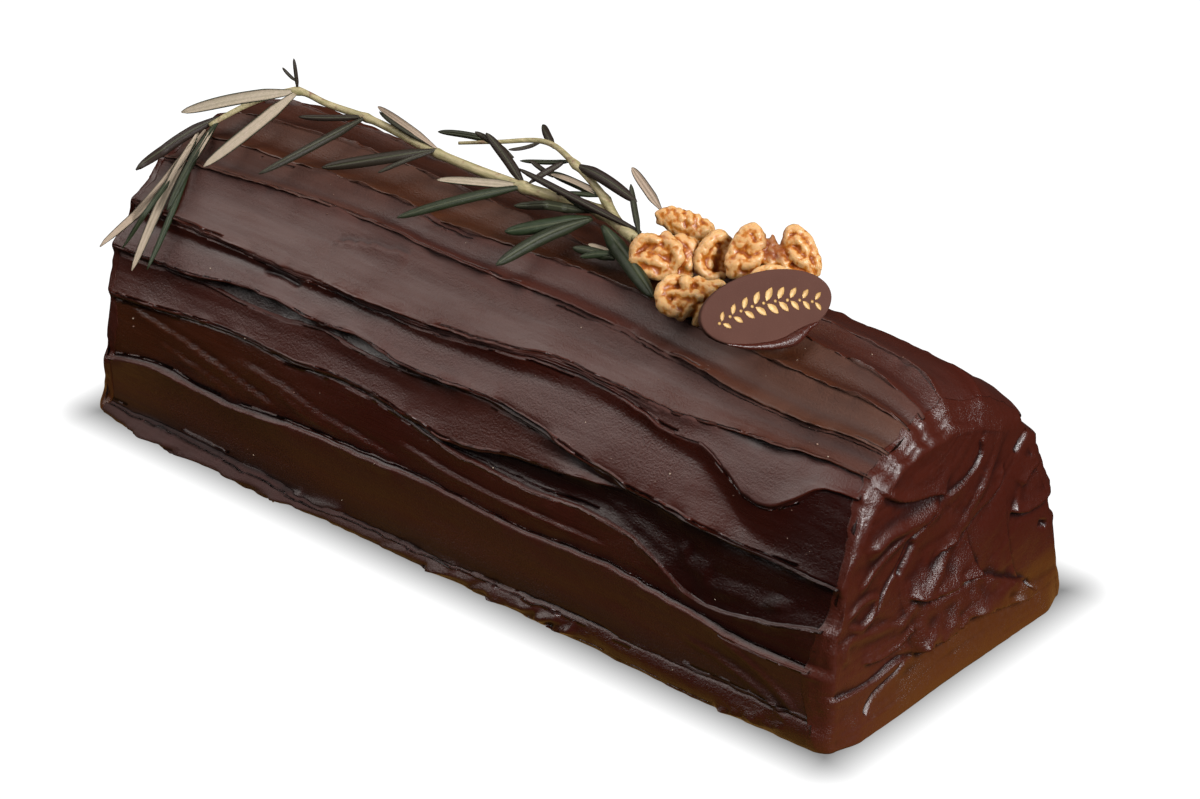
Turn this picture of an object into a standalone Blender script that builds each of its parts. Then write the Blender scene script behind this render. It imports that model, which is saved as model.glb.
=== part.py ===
"""A yule log cake: a chocolate covered log with walnuts, a rosemary sprig and an oval chocolate plaque.

Every length is in millimetres until a mesh is made, when it becomes metres.

The log lies along X and rests on its flat underside at Z = 0. The origin is the middle of that underside.
The front long side faces -Y and the end at +X is the near end. A place on the log's skin is given by x
along the log and by s, the distance up round the log from the foot of the front side, over the top and
down to the foot of the back side. "Relief" is how far the skin stands out from the plain log there.
"""

import math

import bmesh
import bpy
import numpy as np
from mathutils import Euler, Matrix, Vector
from mathutils.bvhtree import BVHTree

MM = 0.001

# The plain log
LENGTH = 256.0
WIDTH = 100.0
HEIGHT = 79.0
SECTION_POWER = 2.3      # 2 would be an ellipse, more is squarer
END_ROUNDING = 16.0      # length over which the skin turns down towards an end
EDGE_ROLL = 6.0          # radius of the roll between an end and the sides
FACE_LEAN = 0.04         # how far each end leans in, per millimetre of height
STEP = 0.15              # half the width of the step between two strokes
THINNEST = 0.5           # a stroke that has run out keeps this width
FADE = 2.0               # a stroke narrower than this, over the thinnest, melts into its neighbours

# How finely the log is divided
SECTION_SAMPLES = 1441
STATIONS = 30
STATION_CROWDING = 1.15  # above 1 the stations stand closer together towards the ends
ACROSS = (0.03, 0.10, 0.22, 0.36, 0.50, 0.64, 0.78, 0.90, 0.97)   # shares of the way across an end

# Toppings
ENVELOPE = 1.7           # a height over the plain log that clears every stroke under the toppings
GAP = 0.1                # space kept between a topping and the envelope
PLAQUE_LONG = 36.5
PLAQUE_SHORT = 18.4
PLAQUE_THICK = 2.2
PLAQUE_EDGE = 0.45       # width of the softened rim
PLAQUE_SIDES = 36
PLAQUE_CENTRE = (73.2, -8.3, 89.6)
PLAQUE_HEADING = -24.0   # degrees from +X to the way it faces, seen from above
PLAQUE_LEAN = 35.0       # degrees back from upright
STEM_SIDES = 6
STEM_POINTS = 20
SHOOT_POINTS = 12
LEAF_THICK = 0.9
LEAF_BOW = 0.06          # how far a leaf bows upwards, as a share of its length
LEAF_GAP = 0.4           # space kept between a leaf and the envelope
# Places along a leaf, and its width there as a share of the widest
LEAF_OUTLINE = ((0.02, 0.35), (0.3, 0.9), (0.65, 1.0), (0.9, 0.62))

# The crown of the log: height along x
CROWN = [(-128, 77.5), (-60, 78.5), (0, 79.0), (60, 79.9), (100, 79.6), (128, 78.4)]

# The edges of the palette knife strokes, in order from the front foot over the top to the back foot:
# (x, s) along the log. Each edge is the lower edge of one stroke and the upper edge of the one before.
EDGES = {
    "front_foot": [(-128, 4.5), (-85, 5.0), (-40, 3.5), (10, 5.0), (60, 6.5), (128, 7.5)],
    "ledge": [(-128, 18), (-112, 22), (-88, 21), (-60, 22.7), (-20, 24.5), (-5, 24.8), (20, 23.3),
              (60, 24.6), (85, 22.8), (105, 21.3), (128, 22)],
    "groove": [(-128, 36.5), (-105, 39), (-77, 41), (-58, 40.2), (-40, 41.6), (-15, 39.4), (0, 36.8),
               (25, 35.4), (58, 36.0), (72, 32.5), (88, 26), (106, 28.3), (128, 34)],
    "groove_top": [(-128, 37), (-105, 39.5), (-77, 41.5), (-58, 40.7), (-40, 42.1), (-15, 39.9), (0, 38.4),
                   (20, 41.6), (45, 44.3), (62, 46.2), (80, 45.0), (128, 44.7)],
    "sliver": [(-128, 49.5), (-97, 51.4), (-76, 50.7), (-58, 52.2), (-48, 53.0), (-38, 52.2), (-18, 52.3),
               (4, 53.2), (28, 51.2), (48, 47.8), (78, 44.6), (95, 44.0), (108, 45.3), (128, 44.8)],
    "shoulder": [(-128, 50), (-97, 52), (-80, 54.5), (-66, 55.0), (-52, 53.8), (-38, 55.1), (-18, 52.8),
                 (4, 53.8), (28, 51.8), (48, 48.4), (78, 45.2), (95, 44.6), (108, 45.9), (128, 45.3)],
    "patch": [(-128, 63.5), (-60, 63.5), (0, 65.4), (20, 68.3), (50, 67.3), (66, 64.8), (84, 65),
              (93, 62.3), (101, 60.8), (108, 63.5), (116, 68.3), (128, 69.5)],
    "upper": [(-128, 64), (-60, 64), (-28, 64.7), (0, 66), (20, 69), (60, 68.7), (85, 70.2), (113, 73.3),
              (128, 74.5)],
    "front_top": [(-128, 79), (-100, 81.2), (-62, 84), (-20, 83.5), (10, 84.3), (40, 83.4), (65, 81.5),
                  (95, 79.8), (128, 82.5)],
    "top_1": [(-128, 88.5), (-100, 91), (-60, 94), (-30, 92.6), (5, 95.2), (40, 95), (62, 92.3), (100, 91.6),
              (128, 92.5)],
    "top_2": [(-128, 101), (-100, 105), (-70, 108), (-20, 107), (40, 106), (95, 103.5), (128, 99.5)],
    "top_3": [(-128, 117), (-95, 120), (-50, 119), (20, 117), (80, 116), (110, 112), (128, 108)],
    "back_top": [(-128, 131), (-60, 132), (0, 129), (60, 131), (128, 126)],
    "back_upper": [(-128, 145), (-40, 147), (40, 143), (128, 146)],
    "back_shoulder": [(-128, 160), (-50, 158), (30, 161), (128, 157)],
    "back_groove": [(-128, 174), (-30, 176), (60, 173), (128, 176)],
    "back_ledge": [(-128, 189), (-50, 186), (40, 189), (128, 187)],
    "back_foot": [(-128, 203), (-60, 204.5), (0, 203), (70, 204), (128, 203)],
}

# One row for each stroke, in the same order: relief at its lower edge, relief at its hollow, how far up
# the stroke the hollow lies, relief at its upper edge, and the number of facets up the stroke.
STROKES = [
    ("foot", 1.6, 2.4, 0.5, 2.4, 1),
    ("lowest", -0.6, 1.2, 0.7, 1.5, 3),
    ("below_groove", -1.2, 0.4, 0.55, 0.5, 3),
    ("groove_bed", -1.4, -2.2, 0.4, -2.0, 2),
    ("front_middle", 0.9, -0.1, 0.6, -0.9, 3),
    ("sliver_bed", -0.1, -0.5, 0.5, -1.0, 1),
    ("front_upper", 1.2, -0.9, 0.75, -1.3, 3),
    ("patch_bed", 0.8, 0.2, 0.6, -0.1, 2),
    ("shoulder", 1.3, -0.1, 0.6, -0.8, 3),
    ("front_top", 0.9, -0.3, 0.7, -0.8, 2),
    ("top_1", 0.8, -0.4, 0.7, -0.8, 2),
    ("top_2", 0.8, -0.4, 0.7, -0.6, 2),
    ("top_3", 0.7, 0.0, 0.5, -0.3, 2),
    ("back_top", 0.6, -0.4, 0.5, 0.7, 2),
    ("back_upper", -0.5, -0.6, 0.5, 0.9, 2),
    ("back_shoulder", -0.6, -0.6, 0.5, 1.0, 2),
    ("back_groove", -0.7, -0.6, 0.5, 1.2, 2),
    ("back_lowest", -0.6, 0.2, 0.5, -0.6, 2),
    ("back_foot", 2.4, 2.4, 0.5, 1.6, 1),
]

# Where the sides end at each end of the log, (s, distance from the middle), and how deep the rounding is
NEAR_RIM = [(0, 126.5), (8, 124), (17, 121.5), (27, 122.5), (39, 125), (50, 126.5), (61, 124.5), (70, 122),
            (82, 122), (104, 121), (130, 120.5), (160, 122.5), (209, 126.5)]
FAR_RIM = [(0, 126.5), (15, 125), (30, 124), (42, 126.5), (55, 125), (70, 123), (104, 122), (150, 123.5),
           (209, 126.5)]
NEAR_ROUNDING = [(0, 1.0), (50, 2.0), (75, 4.0), (104, 8.0), (128, 11.0), (155, 7.0), (185, 3.0), (209, 1.0)]
FAR_ROUNDING = [(0, 1.0), (50, 2.0), (80, 4.0), (104, 5.0), (140, 5.0), (185, 3.0), (209, 1.0)]

# The strokes across an end: heights of their lower edges, how proud each edge is, and the bend of the arcs
FACE_EDGES = (8.0, 15.5, 23.0, 31.0, 38.5, 46.0, 54.0, 63.0)
FACE_RELIEF = 1.8
ARC_START = -7.0
ARC_FLOOR = 13.0
ARC_BEND = 0.00067

# Walnut pieces: centre, half sizes, turn about X, Y and Z in degrees, and the phase of the folds
WALNUTS = {
    "walnut_1": ((25.5, 17.5, 86.0), (9.0, 6.4, 5.2), (15, 8, 20), 0.4),
    "walnut_2": ((32.5, -0.5, 86.0), (9.6, 8.0, 6.2), (-10, 6, -30), 1.7),
    "walnut_3": ((42.4, 8.2, 86.2), (3.6, 6.4, 6.4), (0, -8, -10), 2.9),
    "walnut_4": ((50.2, -9.8, 84.6), (9.4, 7.8, 6.0), (22, 0, 15), 4.2),
    "walnut_5": ((56.6, 16.4, 88.9), (12.8, 5.4, 8.8), (-14, 0, 40), 5.5),
    "walnut_6": ((65.4, 6.2, 85.6), (6.2, 3.8, 5.0), (0, 0, 60), 6.1),
}
WALNUT_FINENESS = 3

# The rosemary: the main stem from its cut end among the walnuts to its tip over the far end, and a side
# shoot that arches up behind it
STEM = [(19, 5, 84.5), (3, 10, 84.5), (-21, 7, 85), (-51, 6, 86), (-80, 9, 85.5), (-103, 6, 86.5),
        (-112, -1, 83.5), (-117, -10, 80), (-120, -18, 76), (-122, -24, 72)]
STEM_RADIUS = (2.0, 0.9)
SHOOT = [(11, 8, 84.6), (4, 11, 88), (-10, 15, 92), (-26, 20, 91.5), (-38, 15.5, 89), (-48, 11, 87)]
SHOOT_RADIUS = (1.5, 0.6)

# Leaves: where each springs from, its tip, and its width
LEAVES = [
    ((-103, 6, 86), (-122, -20, 83.5), 4.6),
    ((-103, 6, 86), (-106, -28, 75.5), 4.2),
    ((-103, 6, 86.5), (-104, 6.5, 95), 1.6),
    ((-80, 9, 85), (-89, -24, 77.5), 3.6),
    ((-80, 9, 85), (-98, 1, 82), 3.4),
    ((-51, 6, 86), (-74, -15, 81), 4.6),
    ((-51, 6, 86), (-60, -8, 81.5), 2.2),
    ((-51, 6, 86), (-79, 12.5, 86), 3.4),
    ((-21, 7, 85), (-44, -2, 82), 3.4),
    ((-21, 7, 85), (-41, -21, 80), 3.8),
    ((-21, 7, 85), (-38, 11, 93.5), 3.8),
    ((3, 10, 84.5), (-12, -11, 82.5), 4.2),
    ((3, 10, 84.5), (-6, -20, 79.5), 3.8),
    ((3, 10, 84.5), (-23, 2, 82), 3.4),
    ((5, 9.5, 84.5), (27, -14, 82.4), 4.4),
    ((5, 9.5, 84.5), (8, -11, 83.0), 3.2),
    ((-117, -10, 80), (-129, -32, 69), 4.2),
    ((-117, -10, 80), (-110, -38.5, 65), 3.4),
    ((-119, -16, 77), (-130, -47.5, 50.5), 3.6),
    ((-120, -18, 76), (-117, -50, 49), 4.0),
    ((-120, -18, 76), (-111, -49, 51), 3.0),
    ((-21, 19, 91.6), (-33, 28, 91), 3.2),
    ((-10, 15, 92), (15, 10.5, 91.5), 3.6),
    ((-12, 16, 92), (-26, 13, 87), 2.2),
    ((-26, 20, 91.5), (-30, 12, 91), 1.8),
    ((2, 11.5, 88.5), (-20, 16, 86), 3.4),
    ((4, 11, 88), (-34, 12.5, 88.0), 2.8),
    ((-38, 15.5, 89), (-56, 11.5, 87.5), 2.6),
    ((11, 8.5, 85), (5, 21, 93), 2.4),
]


def smooth_through(points):
    """A function that runs smoothly through (x, value) points and is level beyond both ends."""
    at = np.array([p[0] for p in points], float)
    value = np.array([p[1] for p in points], float)
    slope = np.gradient(value, at)

    def curve(x):
        x = np.clip(x, at[0], at[-1])
        i = np.clip(np.searchsorted(at, x, side="right") - 1, 0, len(at) - 2)
        span = at[i + 1] - at[i]
        t = (x - at[i]) / span
        start = (1 + 2 * t) * (1 - t) ** 2 * value[i] + t * (1 - t) ** 2 * span * slope[i]
        end = t * t * (3 - 2 * t) * value[i + 1] + t * t * (t - 1) * span * slope[i + 1]
        return start + end

    return curve


def smoothstep(t):
    t = np.clip(t, 0.0, 1.0)
    return t * t * (3 - 2 * t)


def section_table():
    """Distance round the plain section, its points, and its outward directions."""
    angle = np.linspace(0.0, math.pi, SECTION_SAMPLES)
    flat = 2.0 / SECTION_POWER
    y = -WIDTH / 2 * np.sign(np.cos(angle)) * np.abs(np.cos(angle)) ** flat
    z = HEIGHT * np.abs(np.sin(angle)) ** flat
    z[-1] = 0.0
    s = np.concatenate([[0.0], np.cumsum(np.hypot(np.diff(y), np.diff(z)))])
    dy, dz = np.gradient(y, s), np.gradient(z, s)
    return s, y, z, -dz, dy


SECTION_S, SECTION_Y, SECTION_Z, NORMAL_Y, NORMAL_Z = section_table()
GIRTH = SECTION_S[-1]
crown = smooth_through(CROWN)
edge_lines = [smooth_through(points) for points in EDGES.values()]


def on_section(s):
    """Point and outward direction of the plain section at distance s."""
    values = [np.interp(s, SECTION_S, table) for table in (SECTION_Y, SECTION_Z, NORMAL_Y, NORMAL_Z)]
    return values


def skin_point(x, s, relief, rim_near, rim_far):
    """The skin at x and s, standing out by the relief and rounded off near the ends."""
    y, z, ny, nz = on_section(s)
    near = np.clip((x - rim_near + END_ROUNDING) / END_ROUNDING, 0.0, 1.0)
    far = np.clip((-x - rim_far + END_ROUNDING) / END_ROUNDING, 0.0, 1.0)
    inset = smooth_through(NEAR_ROUNDING)(s) * (1 - np.sqrt(1 - near ** 2))
    inset = inset + smooth_through(FAR_ROUNDING)(s) * (1 - np.sqrt(1 - far ** 2))
    out = relief - inset
    return y + ny * out, np.maximum((z + nz * out) * crown(x) / HEIGHT, 0.0)


def stroke_relief(stroke, t):
    """Relief across one stroke, t running from its lower edge at 0 to its upper edge at 1."""
    low, hollow, hollow_at, high = stroke[1:5]
    first = low + (hollow - low) * smoothstep(t / hollow_at)
    second = hollow + (high - hollow) * smoothstep((t - hollow_at) / (1 - hollow_at))
    return np.where(t < hollow_at, first, second)


def stroke_rows():
    """For each row of points along the log: its stroke's number and its place t across that stroke."""
    rows = []
    for number, stroke in enumerate(STROKES):
        facets = stroke[5]
        rows += [(number, k / facets) for k in range(facets + 1)]
    return rows


def row_places(rows, x):
    """Distance s and relief of every row at the stations x, as rows by stations. x may differ by row."""
    edges = [np.zeros_like(x[0])] + [line(x[0]) for line in edge_lines] + [np.full_like(x[0], GIRTH)]
    for k in range(1, len(edges)):
        edges[k] = np.maximum(edges[k], edges[k - 1] + THINNEST)
    s = np.zeros_like(x)
    relief = np.zeros_like(x)
    for row, (number, t) in enumerate(rows):
        low, high = edges[number], edges[number + 1]
        inner_low = low + (STEP if number > 0 else 0.0)
        inner_high = high - (STEP if number < len(STROKES) - 1 else 0.0)
        s[row] = inner_low + (inner_high - inner_low) * t
        width = np.clip((high - low - THINNEST) / FADE, 0.0, 1.0)
        before = STROKES[max(number - 1, 0)][4]
        after = STROKES[min(number + 1, len(STROKES) - 1)][1]
        melted = before + (after - before) * (1 + 2 * t) / 4
        relief[row] = width * stroke_relief(STROKES[number], t) + (1 - width) * melted
    return np.minimum(s, GIRTH), relief


def face_relief(y, z):
    """How far the arcing strokes across an end stand out at y and z."""
    bend = ARC_BEND * np.clip(y - ARC_START, 0.0, None) ** 2
    height = np.where(z > ARC_FLOOR, (z + ARC_FLOOR * bend) / (1 + bend), z)
    edges = np.array((0.0,) + FACE_EDGES + (HEIGHT,))
    k = np.clip(np.searchsorted(edges, height, side="right") - 1, 0, len(edges) - 2)
    t = (height - edges[k]) / (edges[k + 1] - edges[k])
    return FACE_RELIEF * (0.5 - t)


def end_point(y, z, rim_x, crown_height, side, envelope):
    """Where an end lies at y and z, rolling over to the sides at its rim."""
    half = WIDTH / 2
    share = ((abs(y) / half) ** SECTION_POWER + (z / crown_height) ** SECTION_POWER) ** (1 / SECTION_POWER)
    inward = min(max(1.0 - share, 0.0) * half / EDGE_ROLL, 1.0)
    relief = face_relief(y * side, z) if envelope is None else envelope
    face = LENGTH / 2 - FACE_LEAN * z + relief
    x = rim_x + (face - rim_x) * math.sqrt(1 - (1 - inward) ** 2)
    return (side * x, y, z)


def close_end(points, rim, s, rim_near, rim_far, side, envelope):
    """Closes one end with lines across it, from each row on the front side to its partner on the back.

    Adds the new points, and returns the faces and the line that runs along the bottom.
    """
    rim_x = rim_near if side > 0 else rim_far
    plain_y, plain_z = skin_point(side * rim_x, s, 0.0 if envelope is None else envelope, rim_near, rim_far)
    crown_height = plain_z.max()
    lines = []
    for row in range(len(rim) // 2):
        partner = len(rim) - 1 - row
        line = [rim[row]]
        for t in ACROSS:
            y = plain_y[row] + (plain_y[partner] - plain_y[row]) * t
            z = 0.0 if row == 0 else plain_z[row] + (plain_z[partner] - plain_z[row]) * t
            edge = rim_x[row] + (rim_x[partner] - rim_x[row]) * t
            line.append(len(points))
            points.append(end_point(y, z, edge, crown_height, side, envelope))
        line.append(rim[partner])
        lines.append(line)
    faces = []
    for low, high in zip(lines, lines[1:]):
        faces += [(low[k], low[k + 1], high[k + 1], high[k]) for k in range(len(low) - 1)]
    middle = [rim[len(rim) // 2]] if len(rim) % 2 else []
    faces.append(tuple(lines[-1] + middle))
    if side < 0:
        faces = [tuple(reversed(face)) for face in faces]
    return faces, lines[0]


def log_mesh(envelope=None):
    """Vertices and faces of the log, or of a smooth envelope that stands out evenly all over it."""
    rows = stroke_rows()
    along = np.linspace(-1.0, 1.0, STATIONS)
    along = np.sign(along) * (1 - (1 - np.abs(along)) ** STATION_CROWDING)
    middle = np.tile(along * LENGTH / 2, (len(rows), 1))
    s, relief = row_places(rows, middle)
    if envelope is not None:
        relief = np.full_like(relief, envelope)
    rim_near = smooth_through(NEAR_RIM)(s)
    rim_far = smooth_through(FAR_RIM)(s)
    x = np.where(along > 0, along * rim_near, along * rim_far)
    y, z = skin_point(x, s, relief, rim_near, rim_far)
    z[0] = z[-1] = 0.0
    count = len(rows)
    points = [(x[r, c], y[r, c], z[r, c]) for c in range(STATIONS) for r in range(count)]
    faces = [(c * count + r, (c + 1) * count + r, (c + 1) * count + r + 1, c * count + r + 1)
             for c in range(STATIONS - 1) for r in range(count - 1)]
    bottom = {}
    for side, column in ((-1, 0), (1, STATIONS - 1)):
        rim = list(range(column * count, (column + 1) * count))
        end_faces, bottom[side] = close_end(points, rim, s[:, column], rim_near[:, column],
                                            rim_far[:, column], side, envelope)
        faces += end_faces
    front = [c * count for c in range(STATIONS)]
    back = [c * count + count - 1 for c in range(STATIONS)]
    faces.append(tuple(reversed(front + bottom[1][1:-1] + back[::-1] + bottom[-1][-2:0:-1])))
    return points, faces


def material(name, colour, roughness, metallic=0.0):
    made = bpy.data.materials.new(name)
    made.use_nodes = True
    shader = made.node_tree.nodes["Principled BSDF"]
    shader.inputs["Base Color"].default_value = (*colour, 1.0)
    shader.inputs["Roughness"].default_value = roughness
    shader.inputs["Metallic"].default_value = metallic
    return made


def object_from(name, work, surface):
    """An object from a bmesh in millimetres, with its faces turned outwards and split into triangles."""
    bmesh.ops.recalc_face_normals(work, faces=work.faces)
    bmesh.ops.triangulate(work, faces=work.faces)
    bmesh.ops.scale(work, vec=(MM, MM, MM), verts=work.verts)
    mesh = bpy.data.meshes.new(name)
    work.to_mesh(mesh)
    work.free()
    mesh.materials.append(surface)
    made = bpy.data.objects.new(name, mesh)
    bpy.context.scene.collection.objects.link(made)
    return made


def mesh_object(name, points, faces, surface):
    """An object from points in millimetres and faces."""
    work = bmesh.new()
    corners = [work.verts.new(p) for p in points]
    for face in faces:
        work.faces.new([corners[k] for k in face])
    return object_from(name, work, surface)


def placement(centre, turn):
    """Matrix that turns a piece about X, then Y, then Z, in degrees, and puts it at its centre."""
    angles = Euler([math.radians(a) for a in turn], "XYZ")
    return Matrix.Translation(Vector(centre)) @ angles.to_matrix().to_4x4()


def place(made, centre, turn):
    """Moves an object made round the origin to its place."""
    made.location = Vector(centre) * MM
    made.rotation_euler = [math.radians(a) for a in turn]


def envelope_tree():
    """A search tree of the smooth envelope over the tops of the strokes, which the toppings rest on."""
    points, faces = log_mesh(envelope=ENVELOPE)
    return BVHTree.FromPolygons([Vector(p) for p in points], faces)


def clear_of(tree, point, gap):
    """The point, moved out of the envelope where it is nearer than the gap."""
    point = Vector(point)
    nearest, normal, _, _ = tree.find_nearest(point)
    if (point - nearest).dot(normal) >= gap:
        return point
    return nearest + normal * gap


def make_log(surface):
    points, faces = log_mesh()
    mesh_object("log_cake", points, faces, surface)


def kernel_radius(direction, phase):
    """Size of a walnut kernel towards a direction: two halves with folded lobes."""
    x, y, z = direction
    cleft = -0.20 * math.exp(-((x / 0.20) ** 2))
    lobes = 0.09 * math.sin(5.0 * y + 4.0 * x + phase) * math.cos(4.0 * z - 3.0 * x + 2 * phase)
    folds = 0.07 * math.sin(9.0 * x + 3.0 * z + phase) * math.sin(8.0 * y + phase)
    return 1.0 + cleft + lobes + folds


def make_walnut(name, centre, half, turn, phase, surface, tree):
    """A walnut piece resting just clear of the log."""
    work = bmesh.new()
    bmesh.ops.create_icosphere(work, subdivisions=WALNUT_FINENESS, radius=1.0)
    to_log = placement(centre, turn)
    from_log = to_log.inverted()
    for corner in work.verts:
        way = corner.co.normalized()
        local = way * Vector(half) * kernel_radius(way, phase)
        corner.co = from_log @ clear_of(tree, to_log @ local, GAP)
    place(object_from(name, work, surface), centre, turn)


def spline(points, count):
    """Points evenly spread along a smooth curve through the given ones."""
    given = np.array(points, float)
    run = np.concatenate([[0.0], np.cumsum(np.linalg.norm(np.diff(given, axis=0), axis=1))])
    curves = [smooth_through(list(zip(run, given[:, axis]))) for axis in range(3)]
    at = np.linspace(0.0, run[-1], count)
    return [Vector(p) for p in np.stack([curve(at) for curve in curves], axis=1)]


def tube(points, radii, sides):
    """Points and faces of a closed round tube along a line of points."""
    places, faces = [], []
    side_way = Vector((0, 0, 1))
    for k, (point, radius) in enumerate(zip(points, radii)):
        ahead = points[min(k + 1, len(points) - 1)] - points[max(k - 1, 0)]
        across = ahead.cross(side_way).normalized()
        up = across.cross(ahead).normalized()
        for turn in range(sides):
            angle = 2 * math.pi * turn / sides
            places.append(point + across * (radius * math.cos(angle)) + up * (radius * math.sin(angle)))
    for k in range(len(points) - 1):
        for turn in range(sides):
            after = (turn + 1) % sides
            faces.append((k * sides + turn, k * sides + after, (k + 1) * sides + after, (k + 1) * sides + turn))
    faces.append(tuple(range(sides)))
    faces.append(tuple(len(places) - 1 - k for k in range(sides)))
    return places, faces


def leaf(base, tip, width):
    """Points and faces of a narrow rosemary leaf: a keeled blade that bows upwards a little."""
    base, tip = Vector(base), Vector(tip)
    run = tip - base
    across = run.cross(Vector((0, 0, 1))).normalized()
    up = across.cross(run).normalized()
    places, faces = [], []
    for t, share in LEAF_OUTLINE:
        middle = base + run * t + up * (math.sin(math.pi * t) * LEAF_BOW * run.length)
        half = across * (width / 2 * share)
        keel = up * (LEAF_THICK / 2 * (0.5 + share / 2))
        places += [middle - half, middle - keel, middle + half, middle + keel]
    places.append(tip)
    for k in range(len(LEAF_OUTLINE) - 1):
        for turn in range(4):
            after = (turn + 1) % 4
            faces.append((k * 4 + turn, k * 4 + after, (k + 1) * 4 + after, (k + 1) * 4 + turn))
    last = (len(LEAF_OUTLINE) - 1) * 4
    faces += [(last + turn, last + (turn + 1) % 4, last + 4) for turn in range(4)]
    faces.append((3, 2, 1, 0))
    return places, faces


def add_union(body, other):
    """Joins another object's solid into the body; the other stays as a hidden guide."""
    other.hide_render = True
    other.display_type = "WIRE"
    union = body.modifiers.new(other.name, "BOOLEAN")
    union.operation = "UNION"
    union.solver = "EXACT"
    union.object = other


def make_rosemary(surface, tree):
    """The sprig: its main stem, the side shoot and every leaf, joined into one solid."""
    stem = spline(STEM, STEM_POINTS)
    widths = np.linspace(STEM_RADIUS[0], STEM_RADIUS[1], len(stem))
    places, faces = tube([clear_of(tree, p, w + GAP) for p, w in zip(stem, widths)], widths, STEM_SIDES)
    sprig = mesh_object("rosemary_sprig", places, faces, surface)
    shoot = spline(SHOOT, SHOOT_POINTS)
    widths = np.linspace(SHOOT_RADIUS[0], SHOOT_RADIUS[1], len(shoot))
    places, faces = tube(shoot, widths, STEM_SIDES)
    add_union(sprig, mesh_object("side_shoot", places, faces, surface))
    for number, (base, tip, width) in enumerate(LEAVES):
        places, faces = leaf(base, tip, width)
        places = [clear_of(tree, p, LEAF_GAP) for p in places]
        add_union(sprig, mesh_object(f"leaf_{number + 1}", places, faces, surface))
    return sprig


def make_plaque(surface):
    """The oval plaque, leaning back against the walnuts, with a softened rim."""
    work = bmesh.new()
    bmesh.ops.create_cone(work, cap_ends=True, segments=PLAQUE_SIDES, radius1=1.0, radius2=1.0, depth=1.0)
    for corner in work.verts:
        corner.co = (corner.co.x * PLAQUE_LONG / 2, corner.co.y * PLAQUE_SHORT / 2, corner.co.z * PLAQUE_THICK)
    rims = [e for e in work.edges if e.verts[0].co.z * e.verts[1].co.z > 0]
    bmesh.ops.bevel(work, geom=rims, offset=PLAQUE_EDGE, segments=1, affect="EDGES")
    place(object_from("plaque", work, surface), PLAQUE_CENTRE, (90.0 - PLAQUE_LEAN, 0.0, 90.0 + PLAQUE_HEADING))


def main():
    for old in list(bpy.data.objects):
        bpy.data.objects.remove(old, do_unlink=True)
    ganache = material("ganache", (0.075, 0.035, 0.025), 0.38)
    kernel = material("walnut", (0.62, 0.36, 0.12), 0.35)
    green = material("rosemary", (0.16, 0.22, 0.10), 0.6)
    chocolate = material("plaque_chocolate", (0.17, 0.10, 0.085), 0.6)
    make_log(ganache)
    tree = envelope_tree()
    for name, (centre, half, turn, phase) in WALNUTS.items():
        make_walnut(name, centre, half, turn, phase, kernel, tree)
    make_rosemary(green, tree)
    make_plaque(chocolate)


main()
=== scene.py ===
"""The looks of the yule log cake: drawn ganache, glazed walnuts, a rosemary sprig and an oval plaque.

Lengths are in millimetres until a mesh is made, when it becomes metres. The log lies along X on the floor at
Z = 0, its front long side faces -Y and its near end +X. A place on the log's skin is given by x along the log
and by s, the distance up round the log from the foot of the front side to the foot of the back side.
"Relief" is how far the skin stands out from the plain log there.
"""

import math

import bmesh
import bpy
import numpy as np
from mathutils import Euler, Matrix, Vector
from mathutils.bvhtree import BVHTree
from mathutils.noise import fractal


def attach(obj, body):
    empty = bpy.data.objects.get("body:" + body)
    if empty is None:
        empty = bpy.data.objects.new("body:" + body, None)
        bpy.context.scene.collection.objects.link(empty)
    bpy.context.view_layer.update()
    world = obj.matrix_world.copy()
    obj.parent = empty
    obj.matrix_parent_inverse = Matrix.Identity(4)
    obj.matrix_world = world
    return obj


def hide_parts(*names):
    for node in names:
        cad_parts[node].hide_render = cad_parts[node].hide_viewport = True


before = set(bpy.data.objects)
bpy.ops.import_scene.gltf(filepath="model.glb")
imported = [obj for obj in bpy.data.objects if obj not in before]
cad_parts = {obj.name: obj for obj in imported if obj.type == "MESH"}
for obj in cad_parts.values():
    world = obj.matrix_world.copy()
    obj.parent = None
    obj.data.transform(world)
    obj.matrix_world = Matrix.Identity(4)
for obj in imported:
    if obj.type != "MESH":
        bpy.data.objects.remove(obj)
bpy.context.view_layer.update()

MM = 0.001

# The plain log, as in the CAD
LENGTH = 256.0
WIDTH = 100.0
HEIGHT = 79.0
SECTION_POWER = 2.3          # 2 would be an ellipse, more is squarer
SECTION_SAMPLES = 1441
END_ROUNDING = 16.0          # length over which the skin turns down towards an end
FACE_LEAN = 0.04             # how far each end leans in, per millimetre of height
CROWN = [(-128, 77.5), (-60, 78.5), (0, 79.0), (60, 79.9), (100, 79.6), (128, 78.4)]    # height along x

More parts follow.
